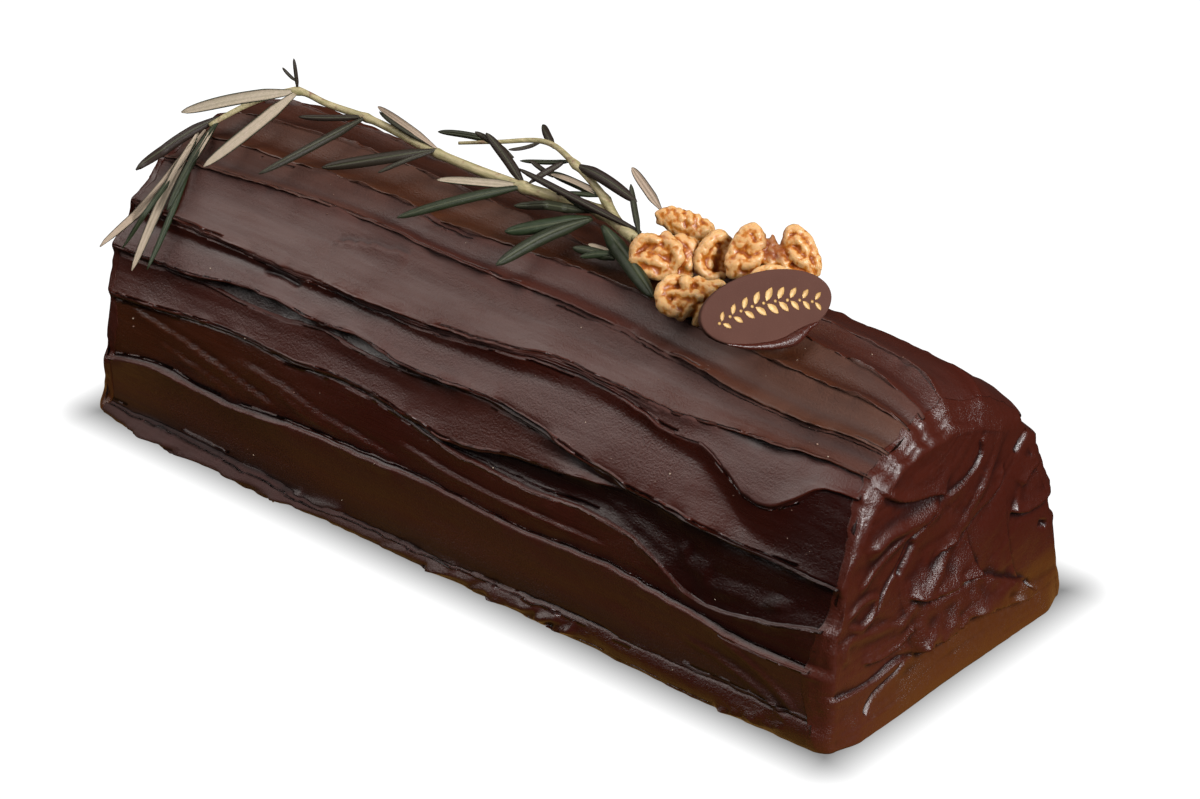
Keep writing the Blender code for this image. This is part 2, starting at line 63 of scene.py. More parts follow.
# The edges of the strokes, in order from the front foot over the top to the back foot: (x, s) along the log
EDGES = {
    "front_foot": [(-128, 4.5), (-85, 5.0), (-40, 3.5), (10, 5.0), (60, 6.5), (128, 7.5)],
    "ledge": [(-128, 18), (-112, 22), (-88, 21), (-60, 22.7), (-20, 24.5), (-5, 24.8), (20, 23.3),
              (60, 24.6), (85, 22.8), (105, 21.3), (128, 22)],
    "groove": [(-128, 36.5), (-105, 39), (-77, 41), (-58, 40.2), (-40, 41.6), (-15, 39.4), (0, 36.8),
               (25, 35.4), (58, 36.0), (72, 32.5), (88, 26), (106, 28.3), (128, 34)],
    "groove_top": [(-128, 37), (-105, 39.5), (-77, 41.5), (-58, 40.7), (-40, 42.1), (-15, 39.9), (0, 38.4),
                   (20, 41.6), (45, 44.3), (62, 46.2), (80, 45.0), (128, 44.7)],
    "sliver": [(-128, 49.5), (-97, 51.4), (-76, 50.7), (-58, 52.2), (-48, 53.0), (-38, 52.2), (-18, 52.3),
               (4, 53.2), (28, 51.2), (48, 47.8), (78, 44.6), (95, 44.0), (108, 45.3), (128, 44.8)],
    "shoulder": [(-128, 50), (-97, 52), (-80, 54.5), (-66, 55.0), (-52, 53.8), (-38, 55.1), (-18, 52.8),
                 (4, 53.8), (28, 51.8), (48, 48.4), (78, 45.2), (95, 44.6), (108, 45.9), (128, 45.3)],
    "patch": [(-128, 63.5), (-60, 63.5), (0, 65.4), (20, 68.3), (50, 67.3), (66, 64.8), (80, 64),
              (88, 60.8), (96, 57.6), (103, 57.4), (110, 61.5), (117, 66.5), (128, 68.5)],
    "upper": [(-128, 64), (-60, 64), (-28, 64.7), (0, 66), (20, 69), (60, 68.7), (85, 70.2), (113, 73.3),
              (128, 74.5)],
    "front_top": [(-128, 79), (-100, 81.2), (-62, 84), (-20, 83.5), (10, 84.3), (40, 83.4), (65, 81.5),
                  (95, 79.8), (128, 82.5)],
    "top_1": [(-128, 88.5), (-100, 91), (-60, 94), (-30, 92.6), (5, 95.2), (40, 95), (62, 92.3), (100, 91.6),
              (128, 92.5)],
    "top_2": [(-128, 101), (-100, 105), (-70, 108), (-20, 107), (40, 106), (95, 103.5), (128, 99.5)],
    "top_3": [(-128, 117), (-95, 120), (-50, 119), (20, 117), (80, 116), (110, 112), (128, 108)],
    "back_top": [(-128, 131), (-60, 132), (0, 129), (60, 131), (128, 126)],
    "back_upper": [(-128, 145), (-40, 147), (40, 143), (128, 146)],
    "back_shoulder": [(-128, 160), (-50, 158), (30, 161), (128, 157)],
    "back_groove": [(-128, 174), (-30, 176), (60, 173), (128, 176)],
    "back_ledge": [(-128, 189), (-50, 186), (40, 189), (128, 187)],
    "back_foot": [(-128, 203), (-60, 204.5), (0, 203), (70, 204), (128, 203)],
}

# Where the sides end at each end of the log, (s, distance from the middle), and how deep the rounding is
NEAR_RIM = [(0, 126.5), (8, 124.5), (17, 122.5), (27, 123.5), (39, 125.5), (50, 126.5), (61, 125.5),
            (70, 124), (82, 123.5), (104, 123), (130, 124.5), (150, 126), (175, 126), (209, 126.5)]
FAR_RIM = [(0, 128.5), (15, 128), (30, 127), (42, 129.5), (55, 130), (70, 128.5), (104, 125.5), (150, 125),
           (209, 127.5)]
FAR_OUT = 2.0                # how much farther out the far end stands than the plain log
NEAR_ROUNDING = [(0, 1.0), (50, 2.0), (75, 4.0), (104, 8.0), (128, 9.0), (155, 4.5), (185, 2.5), (209, 1.0)]
FAR_ROUNDING = [(0, 1.0), (50, 1.2), (80, 2.5), (104, 4.5), (140, 5.0), (185, 3.0), (209, 1.0)]

# Each stroke is a scoop: its name, its shape, how far its lip hangs over the stroke below, its gloss, and
# about how many rows of points it has. The shape is the relief of its lip at the lower edge, the relief of
# its hollow, where the hollow lies across it, and the relief at its upper edge. Where a shape or a gloss
# changes along the log, it is a list of (x, *values). Gloss runs from matt, -1, over satin, 0, to glossy, 1.
STROKES = [
    ("foot", [(-128, 1.0, 1.8, 0.35, -0.3), (-110, 1.8, 3.4, 0.4, -0.2), (-92, 2.4, 4.4, 0.35, 0.2),
              (-64, 1.8, 3.4, 0.5, -0.2), (-30, 1.2, 2.0, 0.4, -0.2), (0, 0.8, 1.4, 0.4, 0.0),
              (40, 0.6, 1.0, 0.6, -0.4), (80, 0.9, 1.5, 0.4, -0.2), (128, 0.5, 1.2, 0.5, -0.3)], 0.0,
     [(-128, -1.0), (-50, -0.8), (0, 0.2), (60, 1.0), (128, 1.0)], 12),
    ("lowest", [(-128, -0.3, -0.6, 0.4, 1.0), (-106, -0.3, -0.8, 0.4, 1.4), (-90, -0.3, -0.8, 0.4, 0.5),
                (-68, -0.3, -0.9, 0.4, 1.2), (-45, -0.3, -0.8, 0.4, 0.3), (-25, -0.3, -0.9, 0.4, 0.6),
                (15, -0.3, -0.9, 0.4, 0.1), (60, -0.3, -0.9, 0.4, 0.3), (95, -0.3, -0.9, 0.4, 0.9),
                (128, -0.3, -0.6, 0.4, 0.5)], 0.0, 0.15, 22),
    ("below_groove", (-1.3, -0.7, 0.5, -0.3), 0.0, 0.8, 26),
    ("groove_bed", (-1.5, -2.6, 0.35, -1.5), 0.0, 1.0, 13),
    ("front_middle", (0.7, -0.5, 0.6, 0.0), 0.4, 0.25, 21),
    ("sliver_bed", (-0.8, -1.4, 0.5, -1.6), 0.2, 1.0, 5),
    ("front_upper", [(-128, 1.7, -1.2, 0.72, 0.5), (-10, 1.7, -1.2, 0.74, 0.4), (10, 1.6, -1.9, 0.66, 0.4),
                     (30, 1.8, -1.4, 0.74, 0.4), (76, 1.8, -1.6, 0.74, 0.5), (88, 1.5, -1.5, 0.6, 0.6),
                     (102, 0.2, -0.9, 0.25, 1.1), (128, -0.5, -0.8, 0.2, 0.8)], 0.6,
     [(-128, 0.1), (70, 0.1), (86, 0.4), (104, 1.0), (128, 1.0)], 26),
    ("patch_bed", [(-128, 0.6, 0.1, 0.5, 0.2), (78, 0.6, 0.1, 0.5, 0.2), (100, 2.4, 0.9, 0.5, 0.3),
                   (128, 1.8, 0.6, 0.5, 0.3)], 0.3, 0.1, 9),
    ("shoulder", (1.6, -0.8, 0.6, 0.3), 0.6, [(-128, -0.1), (60, 0.0), (90, -0.3), (128, -0.7)], 24),
    ("front_top", (1.3, -1.1, 0.4, 0.5), 0.5, [(-128, -0.8), (-75, -0.8), (-45, -0.1), (35, -0.1), (70, -0.3),
                                                (95, -0.7), (128, -0.4)], 16),
    ("top_1", (1.3, -1.1, 0.4, 0.5), 0.5,
     [(-128, 0.0), (-20, 0.0), (0, 0.8), (60, 0.8), (80, 0.0), (128, 0.0)], 13),
    ("top_2", (1.3, -1.0, 0.4, 0.4), 0.4, 0.0, 11),
    ("top_3", (1.1, -0.8, 0.45, 0.4), 0.3, 0.0, 10),
    ("back_top", (0.2, -0.6, 0.5, 1.1), 0.0, 0.2, 10),
    ("back_upper", (-0.3, -0.8, 0.5, 1.2), 0.0, 0.2, 10),
    ("back_shoulder", (-0.4, -0.8, 0.5, 1.1), 0.0, 0.2, 10),
    ("back_groove", (-0.5, -0.7, 0.5, 1.2), 0.0, 0.3, 10),
    ("back_lowest", (-0.5, -0.4, 0.5, 0.6), 0.0, 0.3, 10),
    ("back_foot", (0.6, 1.2, 0.6, 0.6), 0.0, 1.0, 7),
]
# Strokes painted darker all across as painted shade, with how much along x: the beds under the lips, the
# foot, the near end of the front strokes, and top_1 beside the walnuts
PAINTED_SHADE_ALONG = {
    "foot": [(-128, 0.5), (128, 0.5)],
    "top_1": [(-128, 0.0), (-30, 0.0), (0, 0.6), (60, 0.6), (78, 0.0), (128, 0.0)],
    "groove_bed": [(-128, 0.9), (128, 0.9)],
    "sliver_bed": [(-128, 0.9), (128, 0.9)],
    "front_upper": [(-128, 0.0), (84, 0.0), (96, 0.35), (112, 0.85), (128, 0.95)],
    "below_groove": [(-128, 0.1), (60, 0.1), (90, 0.6), (128, 0.6)],
}
# Strokes with painted shade over their lower part, how much, and how far across that reaches
PAINTED_SHADE_BELOW = {"lowest": 0.85, "back_lowest": 0.5}
PAINTED_SHADE_BELOW_REACH = 0.5
# Strokes that are wetter, or where negative more matt, along their upper part, and where across the stroke
# that starts and over how much of it it grows
SHEEN = {"front_upper": 0.9, "shoulder": -0.4, "front_top": -0.4, "top_1": -0.8, "top_2": 0.1, "top_3": 0.8}
SHEEN_PLACE = (0.45, 0.5)
LIP_SHEEN = 0.27             # how much wetter the lips are
LIP_SHEEN_WIDTH = 0.7
DULL_BRINK = 0.9             # how much duller the upper edges are, but for these
DULL_BRINKS = {"lowest": 0.1, "below_groove": 0.1, "groove_bed": 0.0, "foot": 0.3}
DULL_BRINK_WIDTH = 1.0
# Strokes tinted ochre, with how much along x: low on the front the tint is painted reflection of the gilt
# board, on the top strokes a warmer brown
OCHRE_TINT_AND_REFLECTION = {
    "below_groove": [(-128, 0.6), (-80, 0.3), (-40, 0.0), (128, 0.0)],
    "front_top": [(-128, 0.5), (-60, 0.3), (-30, 0.1), (40, 0.1), (90, 0.6), (128, 0.6)],
    "top_1": [(-128, 0.5), (-40, 0.7), (40, 0.9), (90, 0.6), (128, 0.2)],
    "top_2": [(-128, 0.4), (0, 0.5), (70, 0.2), (128, 0.0)],
    "top_3": [(-128, 0.3), (0, 0.3), (70, 0.1), (128, 0.0)],
    "shoulder": [(-128, 0.1), (60, 0.1), (110, 0.3), (128, 0.3)],
}
THINNEST = 0.5               # a stroke that has run out keeps this width
FADE = 2.0                   # a stroke narrower than this, over the thinnest, melts into its neighbours
# Painted shade darkens the hollows of the log's sides, found with these settings
HOLLOW_STEP = 0.4            # hollows are looked for at this spacing round the log
HOLLOW_REACH = 4.5           # against the mean over this reach to each side
HOLLOW_SHADE_DEPTH = 0.80          # and are fully dark at this depth
STATIONS = 326               # how many sections the body has along the log
NOSE = 0.5                   # radius of the rounding where one stroke stands over the next
SCOOP_POWERS = (1.35, 1.7)   # how sharply a scoop turns below and above its hollow
LOW_ROWS = (0.0, 0.16, 0.42, 0.9)      # rows of points this far above a stroke's lower edge
HIGH_ROWS = (-0.8, -0.35, 0.0)         # and this far from its upper edge
CROWDED = 4.0                # in a stroke narrower than this, those rows draw together

# Waves along the strokes, each with its height, its length, its shift from stroke to stroke, and its seed
EDGE_WAVES = ((0.36, 13.0, 7.3, 11), (0.22, 4.5, 7.3, 12), (0.10, 1.5, 7.3, 13))
LIP_WAVES = ((0.45, 22.0, 3.1, 31), (0.40, 7.0, 5.7, 32), (0.25, 2.6, 6.1, 33))
LIP_WAVES_REACH = 1.2
BRINK_WAVES = ((0.60, 14.0, 3.7, 34), (0.48, 4.0, 4.9, 35))
BRINK_WAVES_REACH = 1.5
DULL_WAVES = ((1.0, 9.0, 2.3, 36),)
SHEEN_WAVES = ((1.17, 11.0, 4.1, 37),)

# Waves over a surface, each with its height, its length both ways, and its seed
SKIN_WAVES = ((0.25, 31.0, 9.0, 41), (0.12, 9.0, 4.0, 42), (0.045, 30.0, 0.8, 43), (0.03, 2.0, 1.6, 44))
FOLD_WAVES = ((0.3, 4.0, 4.0, 51),)
FACE_SWELLS = {1: ((0.5, 34.0, 9.0, 53),), -1: ((0.5, 34.0, 9.0, 51),)}
FACE_WAVES = ((0.12, 9.0, 3.0, 53), (0.07, 26.0, 0.9, 54))
FACE_GRAIN = ((0.05, 2.2, 2.2, 55),)

# Folds on the long sides, as lines of (x, s), in the same terms as those on the ends
SIDE_FOLDS = [
    ("lip", 0.45, 4.0, [(-120, 36), (-100, 33.5), (-80, 29.5), (-62, 26)]),
    ("lip", 0.4, 4.0, [(-80, 35), (-60, 33), (-50, 30.5), (-35, 29), (-16, 27)]),
    ("ridge", 0.25, 0.9, [(-64, 31), (-52, 27.5), (-40, 26.5)]),
    ("lip", 0.4, 3.0, [(-20, 33), (5, 30), (30, 29.5), (60, 30)]),
    ("lip", 0.3, 3.0, [(-110, 30), (-90, 26.5), (-78, 24)]),
    ("ridge", 0.5, 0.6, [(48, 42), (66, 38.5), (88, 33), (106, 33), (122, 38)]),
    ("ridge", 0.35, 0.5, [(56, 39.5), (74, 35), (92, 30), (110, 31)]),
    ("lip", 0.8, 3.0, [(78, 40), (84, 36), (98, 33), (118, 36)]),
    ("crease", 0.6, 0.8, [(-76, 61), (-70, 61.6), (-62, 61)]),
    ("lip", 0.6, 3.0, [(-60, 76), (-48, 79), (-34, 80.5)]),
    ("ridge", 0.5, 0.8, [(84, 15), (100, 13), (114, 9), (122, 5)]),
    ("ridge", 0.6, 1.2, [(96, 20), (108, 17), (118, 12), (124, 8)]),
]

# Short slanting folds along the foot
FOOT_FOLDS = 26
FOOT_FOLD_SEED = 71
FOOT_FOLD_STARTS = (-125, 105)         # where along the log they start
FOOT_FOLD = (0.7, 1.3, 16.0, 3.2)      # height, width, length and slant
FOOT_FOLD_RUNS = (0.5, 1.3)            # the shortest and the longest, as shares of that length
FOOT_FOLD_SIZES = (0.5, 1.2)           # the lowest and the highest, as shares of that height
FOOT_FOLD_LOWS = (0.2, 1.5)            # how far over the board they start
FOOT_FOLD_BENDS = (0.3, 0.7)           # the share of its slant that a fold has climbed halfway
FOOT_RIDGES = 0.4                      # share of them that are ridges and not lips

# The ends are smeared over with strokes of their own, which wrap a little way round onto the sides
RIM_POINTS = 340
FACE_ROWS = 120
SPINE = 30.0                 # half length of the line at the foot of the face that its rows spread out from
ROLL = 2.7                   # radius of the roll between the face and the sides
ROLL_STEPS = 9
ROLL_END = 1.0               # the roll ends this far short of the rim
LAP_STEPS = 6
LAP = 0.6                    # how far the lap reaches past the body's end
LAP_WAVES = ((0.8, 6.0, 61), (0.5, 1.9, 62))             # height, length and seed of the waves in its edge
LAP_THINS = 0.6              # the share of its thickness that it loses towards its edge
LAP_LEAN = 0.2               # its edge leans back by this much
LAP_DEPTH = 2.0              # and turns this far down into the body
SMEAR = 0.15                 # how thick it is
LUMPS = ((0.38, 7.0, 3.4, 65), (0.22, 2.1, 1.5, 66))     # height, length, width and seed of the rims' lumps
LUMP_SLANT = 0.25
TUCK = 112.0                 # inside the log, the smear ends this far from the middle
TUCK_DEPTH = 6.0             # and this far under the skin
BODY_SHORT = 1.5             # the body ends this far inside the rims
END_SAMPLES = 420            # the smears follow the body's relief at the rims at so many places
END_SMOOTHED = 5             # each the mean of this many

# Folds on the near end, seen from outside with y to the right and z up: kind, height, width and the line it
# follows. A lip stands proud on the right-hand side of its line, a ridge on both sides, and a crease cuts in.
NEAR_FOLDS = [
    ("lip", 0.45, 5.0, [(-2, 53), (3, 53), (8, 54), (12, 56), (14, 59), (13, 63)]),
    ("lip", 0.9, 4.0, [(-1, 53), (-6, 55), (-14, 57), (-21, 60), (-26, 64)]),
    ("ridge", 1.1, 2.2, [(-3, 51.5), (-11, 51), (-18, 51.5), (-25, 52), (-33, 49)]),
    ("ridge", 0.6, 1.0, [(-7, 50), (-15, 49), (-22, 47), (-30, 44), (-36, 40)]),
    ("lip", 0.45, 6.0, [(-30, 30), (-28, 33), (-25, 37), (-20, 41), (-15, 46), (-8, 49), (-2, 53)]),
    ("ridge", 0.45, 1.6, [(-24, 20), (-14, 27), (-4, 34), (6, 42), (14, 49), (20, 56), (22, 62)]),
    ("crease", 0.8, 1.2, [(-21, 38), (-18, 42), (-14, 46)]),
    ("lip", 0.8, 6.0, [(24, 51), (22, 46), (19, 44), (13, 42), (6, 40), (0, 38), (-7, 37)]),
    ("lip", 1.9, 6.0, [(12, 26), (9, 25), (3, 26), (-3, 26), (-10, 27), (-17, 30)]),
    ("crease", 0.8, 1.5, [(9, 23.5), (2, 24.5), (-4, 25), (-9, 26)]),
    ("lip", 2.4, 9.0, [(33, 12), (33.5, 9), (24, 10), (15, 12), (6, 13), (-2, 12), (-10, 13), (-15, 12)]),
    ("lip", 0.6, 6.0, [(9, 24), (15, 22), (24, 17), (33, 12)]),
    ("lip", 0.6, 5.0, [(-48, 15), (-42, 14), (-35, 13), (-29, 13), (-22, 14), (-15, 13)]),
    ("crease", 0.5, 0.6, [(-12, 12), (-18, 13), (-22, 11), (-28, 10), (-32, 9), (-35, 7), (-36, 5)]),
    ("ridge", 0.6, 1.0, [(-40, 33), (-35, 30), (-30, 32), (-29, 36), (-35, 37), (-41, 34)]),
    ("lip", 0.8, 3.0, [(-14, 21), (-19, 18), (-26, 17.5), (-35, 19)]),
    ("ridge", 0.4, 1.5, [(-41, 22), (-40, 28), (-29, 26), (-15, 23)]),
    ("lip", 1.2, 3.0, [(45, 33), (38, 32), (31, 33), (26, 35)]),
    ("lip", 1.0, 2.5, [(38, 48), (37, 44), (34, 43), (31, 40)]),
    ("crease", 0.9, 0.8, [(38, 26), (42, 24)]),
    ("crease", 0.9, 0.9, [(29, 57), (31, 54), (28, 51)]),
]
FAR_FOLDS = [
    ("lip", 1.2, 7.0, [(34, 66), (12, 58), (-12, 57), (-30, 64)]),
    ("lip", 1.4, 8.0, [(46, 44), (20, 38), (-6, 41), (-28, 50)]),
    ("lip", 1.0, 6.0, [(48, 22), (22, 20), (-8, 24), (-38, 32)]),
    ("crease", 0.7, 1.0, [(10, 31), (24, 30), (36, 33)]),
    ("lip", 0.9, 6.0, [(44, 9), (18, 10), (-10, 9), (-40, 13)]),
]
FOLD_SCALE = 1.5
FOLD_FADE = 0.12             # share of its length over which a fold fades at each end
FOLD_EDGE = 0.6              # width of a lip's step
UNDERCUT = 0.6               # how deep the skin sinks beside a lip, as a share of its height
UNDERCUT_WIDTH = 1.1
FACE_CURVE = 0.00067         # how fast the strokes across an end bend
FACE_CURVE_FROM = -7.0       # to the right of this place
FACE_CURVE_FOOT = 13.0       # and above this height
BASE_BULGE = (3.2, 11.0, 38.0)         # how far the foot of an end bulges, how high, and over what half width
END_GLOSS = 0.6
# Painted shade darkens the hollows of each end's face
FACE_HOLLOW_SHADE = 0.30           # depth behind its surroundings at which the face is fully dark
FACE_HOLLOW_SHADE_REACH = 14       # how many points round about count as its surroundings
# Painted reflection of the gilt board tints the foot of each end's face ochre
FACE_BOARD_REFLECTION = 0.75             # how ochre the foot of the face is
FACE_REFLECTION_TOP = 14.5         # height of that at the middle, its slant, and over what it fades
FACE_REFLECTION_SLANT = 0.06
FACE_REFLECTION_FADE = 4.0
FACE_REFLECTION_LEFT = (46.0, 30.0)          # it fades in from this far left of the middle, over this width

# Walnut kernels stand in a frame that faces the front right and up: x right, y up, and z towards that side.
# Each has its centre, how brown it is, its masses (centre and half sizes) and its ridges, each a line of
# (x, y, z, radius). The ridges are repeated on the hidden side.
FACING = (59.25, 0.0, 40.8)
WALNUTS = {
    "walnut_1": ((25.5, 17.5, 86.0), 0.1, [
        (-2.4, 0.9, 0.2, 5.4, 2.6, 2.5), (3.0, -1.9, 0.2, 5.0, 2.8, 2.5)], [
        [(-6.2, 2.1, 0.0, 1.7), (-4.2, 2.3, 0.0, 2.1), (-1.5, 1.6, 0.0, 2.3), (1.0, 0.3, 0.0, 2.5),
         (3.4, -1.3, 0.0, 2.4), (5.6, -1.5, 0.0, 1.8)],
        [(-6.8, 2.5, 1.0, 0.9), (-5.2, 3.0, 1.2, 1.1)], [(-3.5, 3.7, 1.0, 1.1), (-2.9, 1.4, 1.9, 1.1)],
        [(-1.5, 2.9, 1.4, 1.2), (-0.9, 1.2, 2.1, 1.0)], [(0.9, 2.5, 1.0, 1.2), (1.5, 0.8, 2.0, 1.2)],
        [(3.2, 1.4, 0.9, 1.2), (3.0, 0.2, 1.6, 1.0)], [(5.4, 0.4, 0.6, 1.2), (6.6, -0.5, 0.3, 1.1)],
        [(5.2, -1.8, 1.5, 1.3), (4.5, -3.4, 0.6, 1.2)], [(-4.5, 0.6, 1.1, 1.1), (-1.0, -0.9, 1.6, 1.2)],
        [(-3.6, -0.8, 0.2, 1.6), (-0.6, -2.4, 0.6, 1.8), (2.6, -3.8, 0.6, 1.7)]]),
    "walnut_2": ((32.5, -0.5, 86.0), 0.15, [(0.6, 0.6, -0.4, 7.6, 5.0, 3.1), (6.4, 2.0, -1.6, 4.4, 4.2, 1.8),
        (5.0, -3.6, -1.2, 4.0, 3.0, 1.8)], [
        [(-6.9, 0.9, 0.6, 1.4), (-6.3, 3.0, 1.0, 1.6), (-4.7, 4.7, 1.2, 1.7), (-2.6, 5.0, 1.5, 1.6),
         (-0.9, 4.2, 1.6, 1.4)],
        [(-6.8, -0.6, 1.0, 1.6), (-4.4, -0.2, 2.0, 1.6), (-1.8, -0.9, 2.4, 1.5), (0.8, -2.0, 2.2, 1.4)],
        [(1.3, 5.2, 1.0, 1.7), (2.5, 3.7, 2.0, 1.9), (4.0, 2.1, 2.4, 1.9), (4.4, 0.0, 2.2, 1.9),
         (3.8, -1.7, 2.0, 1.6)],
        [(5.0, 4.8, -0.6, 1.7), (7.0, 3.6, -0.6, 1.8), (7.8, 1.0, -0.6, 1.8), (7.0, -2.0, -0.3, 1.9)],
        [(-5.2, -2.5, 1.0, 1.5), (-2.7, -3.8, 1.6, 1.8), (-0.4, -4.6, 1.2, 1.6), (2.6, -3.8, 1.2, 1.6)],
        [(-0.8, 1.8, 2.0, 1.2), (1.2, 1.2, 2.2, 1.1)]]),
    "walnut_3": ((42.4, 8.2, 86.2), 0.05, [
        (3.2, 0.2, -1.9, 3.4, 6.0, 1.8), (5.6, -3.6, -1.9, 2.0, 2.6, 1.6)], [
        [(2.4, 5.6, 0.2, 1.7), (0.6, 5.0, 0.6, 1.8), (-1.4, 3.2, 0.9, 1.8), (-2.9, 1.0, 1.0, 1.6),
         (-3.6, -1.2, 0.9, 1.5), (-3.4, -3.2, 0.8, 1.6), (-1.4, -4.8, 0.6, 1.6), (0.8, -5.4, 0.2, 1.5),
         (2.6, -5.2, 0.0, 1.2)],
        [(3.0, 5.0, -0.4, 1.5), (3.6, 2.8, -1.0, 1.6), (3.6, 0.4, -1.4, 1.5)],
        [(-0.2, 2.0, -0.4, 1.6), (-1.0, 0.0, -0.8, 1.5), (-0.8, -2.4, -0.6, 1.3)]]),
    "walnut_4": ((50.2, -9.8, 84.6), 0.0, [(-0.4, 0.0, -0.8, 7.4, 5.0, 2.7)], [
        [(-3.4, 4.8, 0.6, 1.3), (-5.6, 4.4, 0.8, 1.5), (-7.3, 2.8, 0.9, 1.5), (-7.9, 0.6, 1.0, 1.6),
         (-7.2, -1.7, 1.2, 1.8), (-5.2, -3.2, 1.5, 1.8), (-3.4, -3.6, 1.7, 1.5)],
        [(-1.2, 4.1, 1.9, 1.9), (-1.0, 2.9, 1.9, 1.5)],
        [(-6.2, 1.2, 1.2, 1.1), (-4.0, 1.2, 1.6, 1.2), (-1.6, 0.6, 2.1, 1.4), (0.6, 0.9, 2.4, 1.5),
         (2.2, 0.2, 2.3, 1.5)],
        [(-3.4, -1.4, 1.8, 1.6), (-1.2, -1.4, 1.9, 1.5)],
        [(0.2, -1.4, 2.0, 1.5), (-0.9, -3.2, 1.9, 1.6), (-2.4, -4.8, 1.4, 1.4)],
        [(2.4, -2.6, 1.8, 1.6), (2.4, -4.4, 1.4, 1.7), (1.6, -6.0, 1.0, 1.5)],
        [(1.8, 4.6, 0.6, 1.3), (3.2, 3.2, 1.2, 1.7), (4.8, 1.8, 1.2, 1.8), (5.6, -0.6, 0.8, 1.8)],
        [(5.4, 3.2, 0.6, 1.4), (7.0, 3.4, 0.4, 1.3), (8.2, 3.5, 0.2, 1.0)]]),
    "walnut_5": ((56.6, 16.4, 88.9), 0.1, [
        (-7.8, 0.8, -0.3, 3.5, 5.4, 1.9), (6.4, 0.6, -0.3, 3.6, 5.0, 1.9)], [
        [(-11.8, -2.6, 0.3, 1.5), (-11.0, 0.6, 0.3, 1.5), (-9.4, 3.6, 0.3, 1.6), (-7.4, 5.9, 0.3, 1.6),
         (-5.5, 6.3, 0.4, 1.6), (-4.4, 5.0, 0.5, 1.6), (-4.4, 3.0, 0.5, 1.6)],
        [(-6.3, 0.3, 1.3, 1.2), (-5.0, 1.4, 1.7, 1.3), (-3.6, 2.6, 1.4, 1.3)],
        [(-8.8, 2.4, 1.0, 1.3), (-7.2, 3.8, 1.2, 1.3), (-6.4, 2.2, 1.2, 1.2)],
        [(-11.4, -5.2, 0.2, 1.5), (-10.4, -3.0, 1.0, 1.7), (-8.6, -1.5, 1.3, 1.5)],
        [(-7.6, -3.2, 1.2, 1.7), (-5.4, -2.2, 1.3, 1.8), (-4.0, -0.6, 1.1, 1.4)],
        [(-0.8, 4.4, -0.4, 0.6), (-1.2, 2.6, -0.2, 0.9), (-1.4, 0.4, 0.2, 1.3), (-1.6, -2.4, 0.8, 1.7)],
        [(-1.9, 3.2, -0.5, 0.7), (-3.0, 1.2, -0.4, 1.2), (-3.2, -1.2, 0.2, 1.6)],
        [(-0.5, 3.0, -0.5, 0.7), (0.4, 1.0, -0.2, 1.0), (1.2, -1.6, 0.6, 1.6), (2.2, -3.0, 0.8, 1.6)],
        [(2.4, 1.0, 0.1, 1.3), (2.7, 3.0, 0.2, 1.4), (3.0, 5.0, 0.2, 1.3), (4.1, 6.3, 0.2, 1.3),
         (5.6, 6.0, 0.3, 1.4), (7.4, 4.5, 0.3, 1.5), (9.0, 2.2, 0.3, 1.5), (9.8, -0.6, 0.3, 1.5),
         (10.6, -3.2, 0.3, 1.5), (10.6, -5.0, 0.2, 1.2)],
        [(4.0, 3.0, 1.1, 1.2), (5.6, 3.4, 1.4, 1.4), (7.0, 1.8, 1.4, 1.5), (7.6, 0.0, 1.2, 1.4)],
        [(3.8, 0.8, 0.8, 1.3), (4.8, -1.2, 1.3, 1.7), (7.4, -2.4, 1.3, 1.8), (8.8, -3.8, 0.9, 1.5)],
        [(-9.0, -5.6, 0.3, 1.6), (-4.5, -5.6, 0.2, 1.9), (0.0, -5.4, 0.2, 2.0), (4.5, -5.2, 0.2, 1.9),
         (8.5, -5.4, 0.2, 1.7)]]),
    "walnut_6": ((65.4, 6.2, 85.6), 0.0, [(0.0, 1.6, -1.3, 5.0, 3.4, 2.0)], [
        [(-6.4, 3.0, -1.0, 1.2), (-4.6, 4.8, -1.0, 1.3), (-2.4, 5.6, -1.0, 1.3), (0.4, 5.3, -1.0, 1.3),
         (2.8, 4.6, -1.0, 1.2), (4.8, 3.4, -0.9, 1.1)],
        [(-4.4, 1.2, -0.2, 1.3), (-1.0, 2.4, -0.2, 1.5), (3.0, 1.6, -0.2, 1.4)]]),
}
WALNUT_STEP = 0.55           # distance between the balls that fill a ridge
WALNUT_BACK = (0.3, -0.2, -1.8)        # how far the ridges of the hidden side are moved
WALNUT_BACK_SIZE = 0.95                # and how much closer together they lie
WALNUT_VOXEL = 0.36
WALNUT_SMOOTHED = (3, 1)     # how often the skin is smoothed before and after its lumps
WALNUT_LUMPS = ((0.34, 1.9), (0.10, 0.7))    # height and length of the lumps over the ridges
WALNUT_LUMP_NOISE = (0.9, 2.0, 2)            # how much its octaves weaken and shrink, and how many there are
WALNUT_LUMP_MOST = 1.2
WALNUT_CREASE_REACH = 16     # a crease is what lies below the skin smoothed so often
WALNUT_CREASES = 0.13        # depth of a crease whose skin is fully brown
SPLIT_WALNUT = "walnut_5"    # seen from its inner side, with a brown wall between its two wings
WALL_HALF = 2.6              # the wall's half width, its middle, its foot, and how far up it fades in
WALL_MIDDLE = -0.3
WALL_FOOT = -3.5
WALL_FADE = 3.0
WALL_SIDE_FADE = 1.5         # it ends at its half width times this

